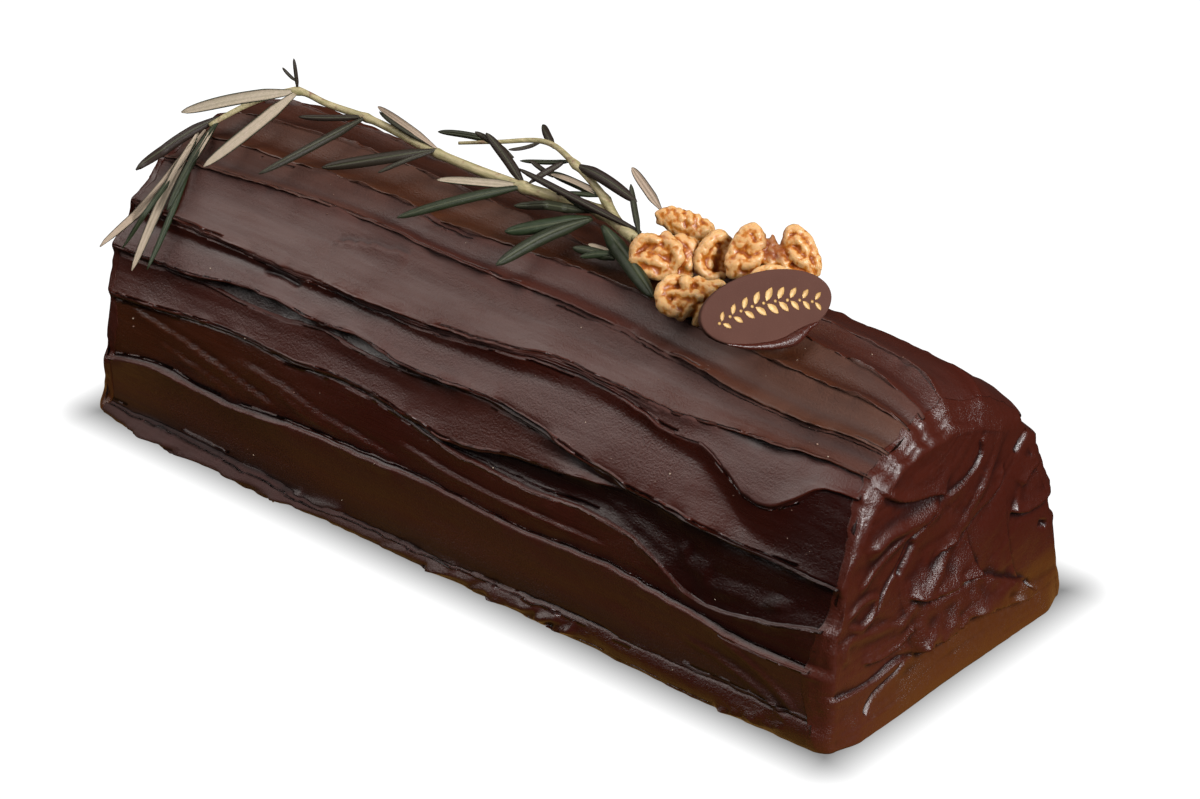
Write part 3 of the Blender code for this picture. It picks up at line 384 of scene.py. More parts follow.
# The rosemary: the main stem from its cut end among the walnuts to its tip over the far end, and a side shoot
STEM = [(19, 5, 84.5), (3, 10, 84.5), (-21, 7, 84.6), (-51, 6, 84.8), (-80, 9, 84.6), (-94, 8, 84.6),
        (-103, 6, 86.2), (-111, -1, 83.5), (-115.5, -9, 80.5), (-117.5, -14, 78.5)]
STEM_RADIUS = (1.75, 0.7)
SHOOT = [(20, 5, 84.8), (11, 8, 85.2), (4, 11, 88), (-10, 15, 92), (-26, 20, 91.5), (-38, 15.5, 89),
         (-48, 11, 87)]
SHOOT_RADIUS = (1.3, 0.45)
NODES_AT = [(-103, 6, 86.5), (-80, 9, 85.5), (-51, 6, 86), (-21, 7, 85), (3, 10, 84.5), (-10, 15, 92),
            (4, 11, 88)]
NODE_SWELL = (0.45, 1.6)     # how much the stem swells where leaves spring from it, and how far along
TUBE_SIDES = 12
STEM_STEPS = 130
SHOOT_STEPS = 60
STEM_TONE = 0.3

# Leaves: where each springs from, its tip, its width, how far it bows, which way up it lies, and its tone.
# An upper side runs from green (0) to dark brown green (1), and "under" shows the pale side.
LEAVES = [
    ((-103, 6, 86), (-122, -20, 83.5), 3.9, 0.05, "under", 0.0),
    ((-103, 6, 86), (-106, -28, 75.5), 3.9, 0.04, "under", 0.2),
    ((-103, 6, 86.5), (-104.5, 6.5, 95.5), 1.3, 0.05, "upper", 1.0),
    ((-103.4, 6, 89), (-106.5, 4.0, 93.0), 1.1, 0.05, "upper", 0.9),
    ((-80, 9, 85), (-89, -24, 77.5), 3.0, 0.06, "upper", 0.7),
    ((-80, 9, 85), (-98, 1, 82), 2.2, 0.04, "upper", 0.9),
    ((-51, 6, 86), (-74, -15, 81), 3.8, 0.05, "upper", 0.8),
    ((-51, 6, 86), (-60, -8, 81.5), 1.7, 0.05, "upper", 0.8),
    ((-51, 6, 86), (-79, 12.5, 87), 2.3, 0.05, "under", 0.6),
    ((-56, 6, 86.5), (-78, 12, 86), 1.6, 0.08, "upper", 0.6),
    ((-21, 7, 85), (-44, -2, 82.5), 2.9, 0.06, "under", 0.0),
    ((-21, 7, 85), (-41, -21, 80), 3.2, 0.05, "upper", 0.2),
    ((-21, 7, 85), (-38, 11, 93.5), 3.2, 0.04, "upper", 0.9),
    ((3.5, 6, 84.6), (-11.3, -11.6, 82.5), 4.4, 0.05, "upper", 0.0),
    ((4, 5.5, 84.8), (-4.4, -22.8, 79.8), 4.2, 0.04, "upper", 0.3),
    ((1.5, 7.5, 85), (-16.9, -1.8, 84.2), 3.0, 0.03, "upper", 0.45),
    ((9, 4, 84.8), (40.5, -13, 82.6), 5.6, 0.05, "upper", 0.15),
    ((20, -4, 82.5), (7.3, -6, 82.2), 3.4, 0.05, "upper", 0.3),
    ((18, -2.3, 82.8), (10, -3, 82.8), 1.8, 0.05, "under", 0.2),
    ((20.4, -2, 83), (12, -8.5, 82.2), 2.4, 0.05, "upper", 0.1),
    ((-117, -10, 80), (-126.5, -33, 69), 3.6, 0.05, "upper", 1.0),
    ((-117, -10, 80), (-110, -38.5, 65), 2.7, 0.04, "upper", 0.2),
    ((-118, -15, 77.5), (-122.5, -51, 54), 2.9, 0.02, "under", 0.5),
    ((-119, -17, 77), (-113, -50, 50), 3.1, 0.03, "under", 0.3),
    ((-119, -17, 77), (-109, -48, 51), 2.1, 0.03, "upper", 0.0),
    ((-119, -17, 76.5), (-118.5, -48, 54), 1.8, 0.04, "upper", 0.1),
    ((-117, -12, 79), (-113, -27, 72), 1.6, 0.06, "under", 0.4),
    ((-21, 19, 91.6), (-33, 28, 91), 2.6, 0.05, "upper", 0.9),
    ((-10, 15, 92), (15, 10.5, 91.5), 3.8, 0.09, "upper", 1.0),
    ((-12, 16, 92), (-27, 12, 88.5), 1.6, -0.12, "upper", 0.3),
    ((-26, 20, 91.5), (-31, 12, 90.5), 1.5, -0.15, "upper", 0.9),
    ((2, 11.5, 88.5), (-20, 16, 86), 3.0, 0.05, "upper", 0.3),
    ((3, 11.5, 88), (-17, 13, 87.5), 2.0, 0.05, "under", 0.4),
    ((20, 6.5, 86), (-25, 9, 88.2), 2.4, 0.05, "upper", 1.0),
    ((-18.7, 6.4, 87), (-14.5, 15.6, 91), 2.0, 0.05, "upper", 1.0),
    ((4.7, 7, 86), (-10, 8, 87.6), 2.2, 0.05, "upper", 0.3),
    ((1.5, 11.5, 88), (-9.6, 6.8, 86.8), 1.7, 0.06, "upper", 0.2),
    ((-38, 15.5, 89), (-56, 11.5, 87.5), 2.2, 0.03, "upper", 0.4),
    ((-30, 13, 88), (-42, 11, 92.5), 2.2, 0.05, "upper", 0.9),
    ((-16, 13, 87), (-24, 12.5, 89.5), 1.6, 0.05, "upper", 0.9),
    ((16.9, 18, 87), (7.1, 17.8, 96), 3.0, 0.03, "under", 0.6),
    ((20.6, 5, 86), (10.4, 13.5, 94), 2.0, 0.03, "upper", 0.5),
]
LEAF_RINGS = 22
LEAF_FACING = (0.45, -0.60, 0.66)
LEAF_THICK = 0.22            # half thickness, as a share of the width
LEAF_GAP = 0.15
LIFT_WAY = (0.561, -0.651, 0.511)   # things on the log are moved clear of it this way
LEAF_NARROW = 0.86
LEAF_SEED = 200
LEAF_TURN = 0.25             # how much each leaf's facing, sway and twist vary
LEAF_SWAY = 0.04
LEAF_TWIST = 0.5
LEAF_TWIST_FROM = 0.3
LEAF_DROOP = 0.28            # how far its edges curl down, as a share of its half width
LEAF_FOOT = (0.22, 0.35, 0.8)          # width at its foot, the share over which it widens, and how sharply
LEAF_TIP = (0.45, 3.2, 0.02)           # where it starts to narrow, how bluntly, and how far
# Round the section of a leaf: place across from -1 to 1, and height of the skin
LEAF_SECTION = [(-1.0, -0.15), (-0.75, 0.5), (-0.35, 0.95), (-0.12, 0.8), (0.0, 0.35), (0.12, 0.8),
                (0.35, 0.95), (0.75, 0.5), (1.0, -0.15), (0.85, -0.8), (0.55, -0.35), (0.2, -0.4),
                (0.0, -0.95), (-0.2, -0.4), (-0.55, -0.35), (-0.85, -0.8)]
LEAF_UPPER = 8               # this many of the section's faces are the green upper side

# The plaque, as in the CAD, its raised gold garland, and the dab of ganache that holds it
PLAQUE_LONG = 36.5
PLAQUE_SHORT = 18.4
PLAQUE_THICK = 2.2
PLAQUE_EDGE = 0.5
PLAQUE_CENTRE = (73.2, -8.3, 89.6)
PLAQUE_TURN = (55.0, 0.0, 66.0)
PLAQUE_SIDES = 120
PLAQUE_RIM_STEPS = 6
PLAQUE_FACE_RINGS = (0.9, 0.75, 0.55, 0.3, 0.1)
GARLAND_PAIRS = 9            # pairs of leaves, each pair with a berry
GARLAND_HALF = 13.0
GARLAND_ARCH = 2.4
GARLAND_LEAF = 4.0           # length of the middle leaves, and how much shorter the last ones are
GARLAND_TAPER = 0.35
GARLAND_LEAN = (52, 14)      # degrees from a leaf to the garland's line, and how that line turns along it
GARLAND_STALK = 0.35
GARLAND_BLADE = ((0, 0), (0.25, 0.2), (0.55, 0.27), (0.8, 0.17), (1, 0), (0.8, -0.13), (0.55, -0.2),
                 (0.25, -0.16))
GARLAND_BERRY = (0.42, -0.6)           # radius of a berry, and how far along it stands from its pair
GARLAND_BERRY_SIDES = 14
GARLAND_LAYERS = ((-0.1, 1.0), (0.08, 1.0), (0.12, 0.9))     # height over the plaque, and size
# The dab of ganache along the plaque's foot: x, y and radius, how deep it goes, and how much it sags there
DAB = [(-13.0, -6.4, 0.4), (-8.0, -8.1, 0.8), (-3.0, -9.1, 1.1), (2.0, -9.4, 1.4), (5.5, -8.9, 1.7),
       (8.0, -7.8, 1.3), (10.0, -7.0, 0.8), (12.5, -6.4, 0.5)]
DAB_DEPTHS = (1.3, 0.3, -0.8, -1.9)
DAB_SAG = 0.25
DAB_STEPS = 60
DAB_VOXEL = 0.35
DAB_SMOOTHED = 8
DAB_GLOSS = 0.6

# Crumbs scattered over the log: how much their ground faces up, how far back and out they lie, how far they
# stand out, and their radii
CRUMBS = 90
CRUMB_SEED = 12
CRUMB_UPWARD = 0.1
CRUMB_BACK = 30
CRUMB_OUT = 118
CRUMB_PROUD = 0.3
CRUMB_SIZES = (0.14, 0.42)
CRUMB_STRETCH = (0.5, 1.0)   # a crumb's half sizes, as shares of its radius
CRUMB_CORNERS = (0.8, 1.1)   # and how far out each corner stands

# Colours
CRUMB_PALE = (0.32, 0.25, 0.19)
CRUMB_BROWN = (0.12, 0.06, 0.04)
GANACHE_DARK = (0.035, 0.0050, 0.0023)
GANACHE_BROWN = (0.041, 0.0074, 0.0035)
# the painted shade in hollows and on shaded strokes
GANACHE_PAINTED_SHADE = (0.010, 0.0008, 0.0004)
# ochre: painted reflection of the gilt board low down, and a warmer brown on the top strokes
GANACHE_OCHRE_AND_REFLECTION = (0.052, 0.0145, 0.0022)
# cream on the lobes is partly painted highlight, brown in the creases partly painted shade
WALNUT_CREAM_AND_HIGHLIGHT = (0.50, 0.285, 0.115)
WALNUT_GOLD = (0.37, 0.120, 0.008)
WALNUT_BROWN_AND_SHADE = (0.21, 0.044, 0.001)
WALNUT_WALL = (0.14, 0.024, 0.001)
LEAF_GREEN = (0.0095, 0.017, 0.0050)
LEAF_LIGHTER = (0.016, 0.026, 0.009)
LEAF_BROWN = (0.018, 0.010, 0.007)
UNDER_PALE = (0.33, 0.27, 0.205)
UNDER_SHADE = (0.27, 0.23, 0.16)
UNDER_BROWN = (0.22, 0.12, 0.09)
UNDER_EDGE = (0.10, 0.07, 0.045)
LEAF_GROOVE = (0.075, 0.080, 0.045)
STEM_PALE = (0.34, 0.280, 0.155)
STEM_GREEN = (0.20, 0.178, 0.078)
STEM_BROWN = (0.17, 0.09, 0.05)
PLAQUE_DARK = (0.060, 0.0235, 0.0165)
PLAQUE_LIGHT = (0.068, 0.0275, 0.0195)
PLAQUE_BLOOM = (0.100, 0.052, 0.040)
GOLD_BRIGHT = (0.36, 0.21, 0.06)
GOLD_DULL = (0.26, 0.14, 0.035)

# The camera, in metres and degrees
CAMERA_PLACE = (0.7097, -0.8092, 0.6711)
CAMERA_DOWN = 30.75
CAMERA_HEADING = 40.79
CAMERA_LENS = 141.0
CAMERA_SENSOR = 36.0

# The studio: each light's name, direction, distance, size, power, colour, and whether it mirrors in the
# glaze; and how bright the surroundings are to each kind of ray
LIGHTS = [
    ("key", (-0.56, -0.29, 0.78), 1.1, (1.0, 1.2), 12.5, (1.0, 0.96, 0.92), True),
    ("side", (0.82, -0.10, 0.56), 1.2, (0.45, 0.45), 24.0, (1.0, 1.0, 1.0), True),
    ("above", (0.10, 0.55, 0.83), 1.2, (1.2, 1.2), 4.0, (1.0, 1.0, 1.0), False),
]
WORLD = (("Is Camera Ray", 1.1), ("Is Diffuse Ray", 0.13), ("Is Glossy Ray", 0.03))
FLOOR_HALF = 4000
FLOOR_WHITE = 1.1
# The shadow round the log is painted into the floor's glow
PAINTED_CONTACT_SHADOW = (13.0, 0.75)       # reach and depth of the shade on the floor round the log
# Painted light: the board's glow softly lights the cake and shows in its glaze
# Glow of the gilt board that the glaze mirrors, of the floor beyond it, and where one passes into the other
BOARD_GLOW = (0.46, 0.24, 0.06)
BEYOND_BOARD_GLOW = (0.03, 0.025, 0.02)
BOARD_EDGE = (10.0, 26.0)


def smooth_through(points):
    """A function that runs smoothly through (x, value) points and is level beyond both ends."""
    at = np.array([p[0] for p in points], float)
    value = np.array([p[1] for p in points], float)
    slope = np.gradient(value, at)

    def curve(x):
        x = np.clip(x, at[0], at[-1])
        i = np.clip(np.searchsorted(at, x, side="right") - 1, 0, len(at) - 2)
        span = at[i + 1] - at[i]
        t = (x - at[i]) / span
        start = (1 + 2 * t) * (1 - t) ** 2 * value[i] + t * (1 - t) ** 2 * span * slope[i]
        end = t * t * (3 - 2 * t) * value[i + 1] + t * t * (t - 1) * span * slope[i + 1]
        return start + end

    return curve


def smoothstep(t):
    t = np.clip(t, 0.0, 1.0)
    return t * t * (3 - 2 * t)


def noise(u, v, seed):
    """Smooth noise from -1 to 1 over a plane, with one bump to a unit."""
    table = np.random.default_rng(seed).uniform(-1, 1, (97, 89))
    u, v = np.broadcast_arrays(np.asarray(u, float), np.asarray(v, float))
    i, j = np.floor(u).astype(int), np.floor(v).astype(int)
    a, b = smoothstep(u - i), smoothstep(v - j)
    rows, columns = table.shape
    low = table[i % rows, j % columns] * (1 - a) + table[(i + 1) % rows, j % columns] * a
    high = table[i % rows, (j + 1) % columns] * (1 - a) + table[(i + 1) % rows, (j + 1) % columns] * a
    return low * (1 - b) + high * b


def waves_along(x, number, waves):
    """Waves along a stroke or an edge, which differ from one to the next."""
    return sum(height * noise(x / length, number * shift, seed) for height, length, shift, seed in waves)


def waves_over(u, v, waves):
    """Waves over a surface."""
    return sum(height * noise(u / length, v / width, seed) for height, length, width, seed in waves)


def section_table():
    """Distance round the plain section, its points, and its outward directions."""
    angle = np.linspace(0.0, math.pi, SECTION_SAMPLES)
    flat = 2.0 / SECTION_POWER
    y = -WIDTH / 2 * np.sign(np.cos(angle)) * np.abs(np.cos(angle)) ** flat
    z = HEIGHT * np.abs(np.sin(angle)) ** flat
    z[-1] = 0.0
    s = np.concatenate([[0.0], np.cumsum(np.hypot(np.diff(y), np.diff(z)))])
    dy, dz = np.gradient(y, s), np.gradient(z, s)
    return s, y, z, -dz, dy


SECTION_S, SECTION_Y, SECTION_Z, NORMAL_Y, NORMAL_Z = section_table()
GIRTH = SECTION_S[-1]
crown = smooth_through(CROWN)


def skin_point(x, s, relief, rim_near, rim_far):
    """The skin at x and s, standing out by the relief and rounded off near the ends."""
    y, z, ny, nz = [np.interp(s, SECTION_S, table) for table in (SECTION_Y, SECTION_Z, NORMAL_Y, NORMAL_Z)]
    near = np.clip((x - rim_near + END_ROUNDING) / END_ROUNDING, 0.0, 1.0)
    far = np.clip((-x - rim_far + END_ROUNDING) / END_ROUNDING, 0.0, 1.0)
    inset = smooth_through(NEAR_ROUNDING)(s) * (1 - np.sqrt(1 - near ** 2))
    inset = inset + smooth_through(FAR_ROUNDING)(s) * (1 - np.sqrt(1 - far ** 2))
    out = relief - inset
    return y + ny * out, np.maximum((z + nz * out) * crown(x) / HEIGHT, 0.0)


def wobbly_edge(number, x):
    """One stroke edge with its small waves."""
    return smooth_through(list(EDGES.values())[number])(x) + waves_along(x, number, EDGE_WAVES)


def stroke_places():
    """Where each row of points lies: its stroke, its share of the way across, and an offset."""
    rows = []
    for number, stroke in enumerate(STROKES):
        steps = stroke[4] - len(LOW_ROWS)
        rows += [(number, 0.0, offset) for offset in LOW_ROWS]
        rows += [(number, k / steps, 0.0) for k in range(1, steps)]
        rows += [(number, 1.0, offset) for offset in HIGH_ROWS]
    return rows


def stroke_shape(stroke, x):
    """The stroke's lip, hollow, hollow's place and rise at the places x."""
    shape = stroke[1]
    if isinstance(shape, tuple):
        return [np.full_like(x, value) for value in shape]
    return [smooth_through([(row[0], row[k]) for row in shape])(x) for k in range(1, 5)]


def scoop(shape, t):
    """Relief across a stroke: a scoop that is lowest at its hollow."""
    lip, hollow, at, rise = shape
    below, above = SCOOP_POWERS
    first = hollow + (lip - hollow) * np.clip(1 - t / at, 0, 1) ** below
    second = hollow + (rise - hollow) * np.clip((t - at) / (1 - at), 0, 1) ** above
    return np.where(t < at, first, second)


def along_stroke(value, x):
    """A number that holds all along a stroke, or (x, number) points along it."""
    return np.full_like(x, value) if isinstance(value, float) else np.interp(x, *zip(*value))


def lay_rows(rows, x):
    """Distance s, relief and looks for every row at the stations x."""
    edges = [np.zeros_like(x)]
    edges += [wobbly_edge(number, x) for number in range(len(EDGES))] + [np.full_like(x, GIRTH)]
    for k in range(1, len(edges)):
        edges[k] = np.maximum(edges[k], edges[k - 1] + THINNEST)
    shapes = [stroke_shape(stroke, x) for stroke in STROKES]
    s = np.zeros((len(rows), len(x)))
    relief = np.zeros_like(s)
    looks = {"gloss": np.zeros_like(s), "shade": np.zeros_like(s), "ochre_and_reflection": np.zeros_like(s)}
    last = len(STROKES) - 1
    for row, (number, share, offset) in enumerate(rows):
        stroke = STROKES[number]
        lip, hollow, _, rise = shapes[number]
        low, high = edges[number], edges[number + 1]
        span = high - low
        tight = np.clip(span / CROWDED, 0.0, 1.0)
        if share == 1.0 and offset == 0.0 and number < last:
            reach = STROKES[number + 1][2]
        else:
            reach = 0.0
        place = low + span * share + offset * tight
        open_width = np.clip((span - THINNEST) / FADE, 0.0, 1.0)
        t = np.clip((place - low) / span, 0.0, 1.0)
        lively = (lip - hollow) * waves_along(x, number, LIP_WAVES)
        height = scoop(shapes[number], t) + lively * np.exp(-t * span / LIP_WAVES_REACH)
        height = height + waves_along(x, number, BRINK_WAVES) * np.exp(-(1 - t) * span / BRINK_WAVES_REACH)
        from_low, from_high = place - low, high - place
        before = shapes[max(number - 1, 0)][3]
        after = shapes[min(number + 1, last)][0]
        nose_low = NOSE * np.clip(1 - from_low / NOSE, 0, 1) ** 2
        nose_high = NOSE * np.clip(1 - from_high / NOSE, 0, 1) ** 2
        if number > 0:
            height = height - nose_low * (lip > before)
        if number < last:
            height = height - nose_high * (rise > after)
        melted = before + (after - before) * (1 + 2 * t) / 4
        s[row] = place + reach * open_width
        relief[row] = open_width * height + (1 - open_width) * melted
        wetter = SHEEN.get(stroke[0], 0.0) * smoothstep((t - SHEEN_PLACE[0]) / SHEEN_PLACE[1])
        lip_sheen = LIP_SHEEN + waves_along(x, number, SHEEN_WAVES)
        wetter = wetter + lip_sheen * np.exp(-from_low / LIP_SHEEN_WIDTH)
        dull = DULL_BRINKS.get(stroke[0], DULL_BRINK) * (1 + waves_along(x, number, DULL_WAVES))
        duller = dull * np.exp(-from_high / DULL_BRINK_WIDTH)
        looks["gloss"][row] = np.clip(along_stroke(stroke[3], x) + wetter - duller, -1.0, 1.0)
        # painted shade: along the strokes listed, and over the lower part of some
        sunk = PAINTED_SHADE_BELOW.get(stroke[0], 0.0) * (1 - smoothstep(t / PAINTED_SHADE_BELOW_REACH))
        looks["shade"][row] = np.minimum(along_stroke(PAINTED_SHADE_ALONG.get(stroke[0], 0.0), x) + sunk, 1.0)
        # ochre tint: low on the front it is painted reflection of the gilt board
        looks["ochre_and_reflection"][row] = along_stroke(OCHRE_TINT_AND_REFLECTION.get(stroke[0], 0.0), x)
    relief += waves_over(x, s, SKIN_WAVES)
    across = np.broadcast_to(x, s.shape)
    relief += sum(fold_relief(across, s, fold) for fold in SIDE_FOLDS + foot_folds())
    return np.clip(s, 0.0, GIRTH), relief, looks


def foot_folds():
    """Short folds that slant up along both feet of the log, where the knife was lifted."""
    draw = np.random.default_rng(FOOT_FOLD_SEED)
    height, width, length, slant = FOOT_FOLD
    folds = []
    for _ in range(FOOT_FOLDS):
        x = draw.uniform(*FOOT_FOLD_STARTS)
        run = length * draw.uniform(*FOOT_FOLD_RUNS)
        low = draw.uniform(*FOOT_FOLD_LOWS)
        kind = "ridge" if draw.uniform() < FOOT_RIDGES else "lip"
        size = height * draw.uniform(*FOOT_FOLD_SIZES)
        climbed = slant * draw.uniform(*FOOT_FOLD_BENDS)
        line = [(x, low), (x + run / 2, low + climbed), (x + run, low + slant)]
        folds.append((kind, size, width, line))
        folds.append((kind, size, width, [(px, GIRTH - ps) for px, ps in reversed(line)]))
    return folds


def line_through(points, steps=10):
    """A smooth line through the points, as an array of close points."""
    fine = np.linspace(0, len(points) - 1, (len(points) - 1) * steps + 1)
    columns = [smooth_through(list(enumerate(column)))(fine) for column in zip(*points)]
    return np.stack(columns, axis=1)


def beside_line(y, z, points):
    """Distance from a line, positive on its right-hand side, and the share of the way along it, 0 to 1."""
    line = line_through(points)
    nearest = np.full(y.shape, np.inf)
    signed = np.zeros_like(y)
    share = np.zeros_like(y)
    for k, (start, end) in enumerate(zip(line, line[1:])):
        step = end - start
        t = np.clip(((y - start[0]) * step[0] + (z - start[1]) * step[1]) / (step @ step), 0, 1)
        off_y, off_z = y - start[0] - t * step[0], z - start[1] - t * step[1]
        away = np.hypot(off_y, off_z)
        closer = away < nearest
        nearest = np.where(closer, away, nearest)
        signed = np.where(closer, away * np.sign(step[1] * off_y - step[0] * off_z), signed)
        share = np.where(closer, (k + t) / (len(line) - 1), share)
    return signed, share


def fold_relief(y, z, fold):
    """How far one fold stands out from its surroundings; it is worked out only near its line."""
    _, _, width, points = fold
    reach = 4.0 * max(width, 1.0)
    low_y, low_z = np.min(points, axis=0) - reach
    high_y, high_z = np.max(points, axis=0) + reach
    near = (y > low_y) & (y < high_y) & (z > low_z) & (z < high_z)
    relief = np.zeros_like(y)
    relief[near] = fold_profile(y[near], z[near], fold)
    return relief


def fold_profile(y, z, fold):
    """How far a fold stands out at each point, from the distance to its line."""
    kind, height, width, points = fold
    away, share = beside_line(y, z, points)
    fade = smoothstep(share / FOLD_FADE) * smoothstep((1 - share) / FOLD_FADE)
    ragged = 1 + waves_over(y, z, FOLD_WAVES)
    if kind == "lip":
        edge = smoothstep(0.5 + away / FOLD_EDGE)
        sunk = (1 - edge) * UNDERCUT * np.exp(-np.abs(away) / UNDERCUT_WIDTH)
        proud = edge * np.exp(-np.abs(away) / width) - sunk
    elif kind == "ridge":
        proud = np.exp(-(away / width) ** 2)
    else:
        proud = -np.exp(-(away / width) ** 2)
    return FOLD_SCALE * height * proud * fade * ragged


def face_relief(y, z, folds, side):
    """How far the strokes across an end stand out."""
    bend = FACE_CURVE * np.clip(y - FACE_CURVE_FROM, 0.0, None) ** 2
    across = np.where(z > FACE_CURVE_FOOT, (z + FACE_CURVE_FOOT * bend) / (1 + bend), z)
    relief = sum(fold_relief(y, z, fold) for fold in folds)
    relief = relief + waves_over(y, across, FACE_SWELLS[side] + FACE_WAVES) + waves_over(y, z, FACE_GRAIN)
    bulge, high, wide = BASE_BULGE
    half = WIDTH / 2
    return relief + bulge * smoothstep(1 - z / high) * smoothstep((half - np.abs(y)) / (half - wide))


def end_smear(side, rims, folds, body_relief):
    """The smear over one end: its face, the roll at the rim, and a ragged lap over the log's sides."""
    s = np.linspace(0.0, GIRTH, RIM_POINTS)
    rim_near, rim_far = [smooth_through(rim)(s) for rim in rims]
    rim = rim_near if side > 0 else rim_far
    out_y, out_z = skin_point(side * rim, s, np.full_like(s, -ROLL), rim_near, rim_far)
    out_z[0] = out_z[-1] = 0.0
    spine = SPINE * (2 * s / GIRTH - 1)
    shares = np.linspace(0.0, 1.0, FACE_ROWS)[:, None]
    y = spine + (out_y - spine) * shares
    z = out_z * shares
    x = LENGTH / 2 + (FAR_OUT if side < 0 else 0.0) - FACE_LEAN * z + face_relief(y * side, z, folds, side)
    rings = list(zip(x, y, z))
    edge_x = x[-1]
    ragged = LAP + sum(height * noise(s / length, 0.5, seed + side) for height, length, seed in LAP_WAVES)
    top = body_relief(s) + SMEAR
    steps = ROLL_STEPS + LAP_STEPS
    for step in range(1, steps + 1):
        turn = math.pi / 2 * min(step / ROLL_STEPS, 1.0)
        lap = max(step - ROLL_STEPS, 0) / LAP_STEPS
        ring_x = edge_x + (rim - ROLL_END - edge_x) * (1 - math.cos(turn)) - (ragged + BODY_SHORT) * lap
        ring_out = -ROLL + (top + ROLL) * math.sin(turn) - LAP_THINS * SMEAR * lap
        lumps = waves_over(s, edge_x - ring_x + LUMP_SLANT * s, LUMPS)
        ring_out = ring_out + lumps * math.sin(turn) ** 2 * (1 - lap) ** 1.5
        rings.append((ring_x, *skin_point(side * ring_x, s, ring_out, rim_near, rim_far)))
    inside = skin_point(side * ring_x, s, body_relief(s) - LAP_DEPTH, rim_near, rim_far)
    rings.append((ring_x - LAP_LEAN, *inside))
    tucked = skin_point(side * ring_x, s, np.full_like(s, -TUCK_DEPTH), rim_near, rim_far)
    rings.append((np.full_like(s, TUCK), *tucked))
    for ring in rings:
        ring[2][0] = ring[2][-1] = 0.0
    points = [(side * px, py, pz) for ring in rings for px, py, pz in zip(*ring)]
    last = len(rings) - 1
    faces = quads(last + 1, RIM_POINTS)
    faces.append(tuple(last * RIM_POINTS + b for b in range(RIM_POINTS)))
    spine_ends = [a * RIM_POINTS for a in range(last, 0, -1)] + list(range(RIM_POINTS))
    faces.append(tuple(spine_ends + [a * RIM_POINTS + RIM_POINTS - 1 for a in range(1, last + 1)]))
    if side < 0:
        faces = [tuple(reversed(face)) for face in faces]
    shade = np.zeros((len(rings), len(s)))
    # painted shade in the face's hollows
    shade[:FACE_ROWS] = face_hollow_shade(x)
    ochre_and_reflection = np.zeros_like(shade)
    # painted reflection of the gilt board tints the foot of the face ochre
    for row, (_, ring_y, ring_z) in enumerate(rings):
        low = smoothstep((FACE_REFLECTION_TOP - ring_z + FACE_REFLECTION_SLANT * ring_y) / FACE_REFLECTION_FADE)
        left, fade = FACE_REFLECTION_LEFT
        ochre_and_reflection[row] = FACE_BOARD_REFLECTION * low * smoothstep((ring_y * side + left) / fade)
    looks = {"gloss": np.full(shade.size, END_GLOSS), "shade": shade.ravel(), "ochre_and_reflection": ochre_and_reflection.ravel()}
    return points, faces, looks


def quads(rows, columns):
    """The faces between the points of a grid."""
    return [(a * columns + b, (a + 1) * columns + b, (a + 1) * columns + b + 1, a * columns + b + 1)
            for a in range(rows - 1) for b in range(columns - 1)]


def face_hollow_shade(x):
    """How much painted shade each point of the end's face gets, from 0 to 1, by how far it lies behind its
    surroundings.
    """
    around = x.copy()
    for _ in range(FACE_HOLLOW_SHADE_REACH):
        padded = np.pad(around, 1, mode="edge")
        around = (padded[:-2, 1:-1] + padded[2:, 1:-1] + padded[1:-1, :-2] + padded[1:-1, 2:]) / 4
    return np.clip((around - x) / FACE_HOLLOW_SHADE, 0.0, 1.0)


def log_body(rims):
    """The log's sides with their long strokes, its two plain ends inside the smears, and its flat bottom."""
    rows = stroke_places()
    count = len(rows)
    along = np.linspace(-1.0, 1.0, STATIONS)
    s, relief, looks = lay_rows(rows, along * LENGTH / 2)
    shade = looks["shade"]
    for column in range(STATIONS):
        # painted shade in the hollows of each section
        shade[:, column] = np.maximum(shade[:, column], hollow_shade(s[:, column], relief[:, column]))
    rim_near, rim_far = [smooth_through(rim)(s) for rim in rims]
    x = np.where(along > 0, along * (rim_near - BODY_SHORT), along * (rim_far - BODY_SHORT))
    y, z = skin_point(x, s, relief, rim_near, rim_far)
    z[0] = z[-1] = 0.0
    points = list(zip(x.T.ravel(), y.T.ravel(), z.T.ravel()))
    faces = quads(STATIONS, count)
    faces.append(tuple(reversed(range(count))))
    faces.append(tuple((STATIONS - 1) * count + r for r in range(count)))
    front = [c * count for c in range(STATIONS)]
    back = [c * count + count - 1 for c in range(STATIONS)]
    faces.append(tuple(reversed(front + back[::-1])))
    ends = []
    for column in (-1, 0):
        order = np.argsort(s[:, column])
        ends.append((s[order, column], relief[order, column]))
    return points, faces, {name: look.T.ravel() for name, look in looks.items()}, ends


def hollow_shade(s, relief):
    """How much painted shade each point of a section gets, from 0 to 1, by how far it lies below its
    surroundings.
    """
    order = np.argsort(s)
    even = np.arange(0.0, GIRTH, HOLLOW_STEP)
    reach = round(HOLLOW_REACH / HOLLOW_STEP)
    window = np.hanning(2 * reach + 1)
    spread = np.pad(np.interp(even, s[order], relief[order]), reach, mode="edge")
    around = np.convolve(spread, window / window.sum(), "valid")
    return np.clip((np.interp(s, even, around) - relief) / HOLLOW_SHADE_DEPTH, 0.0, 1.0)


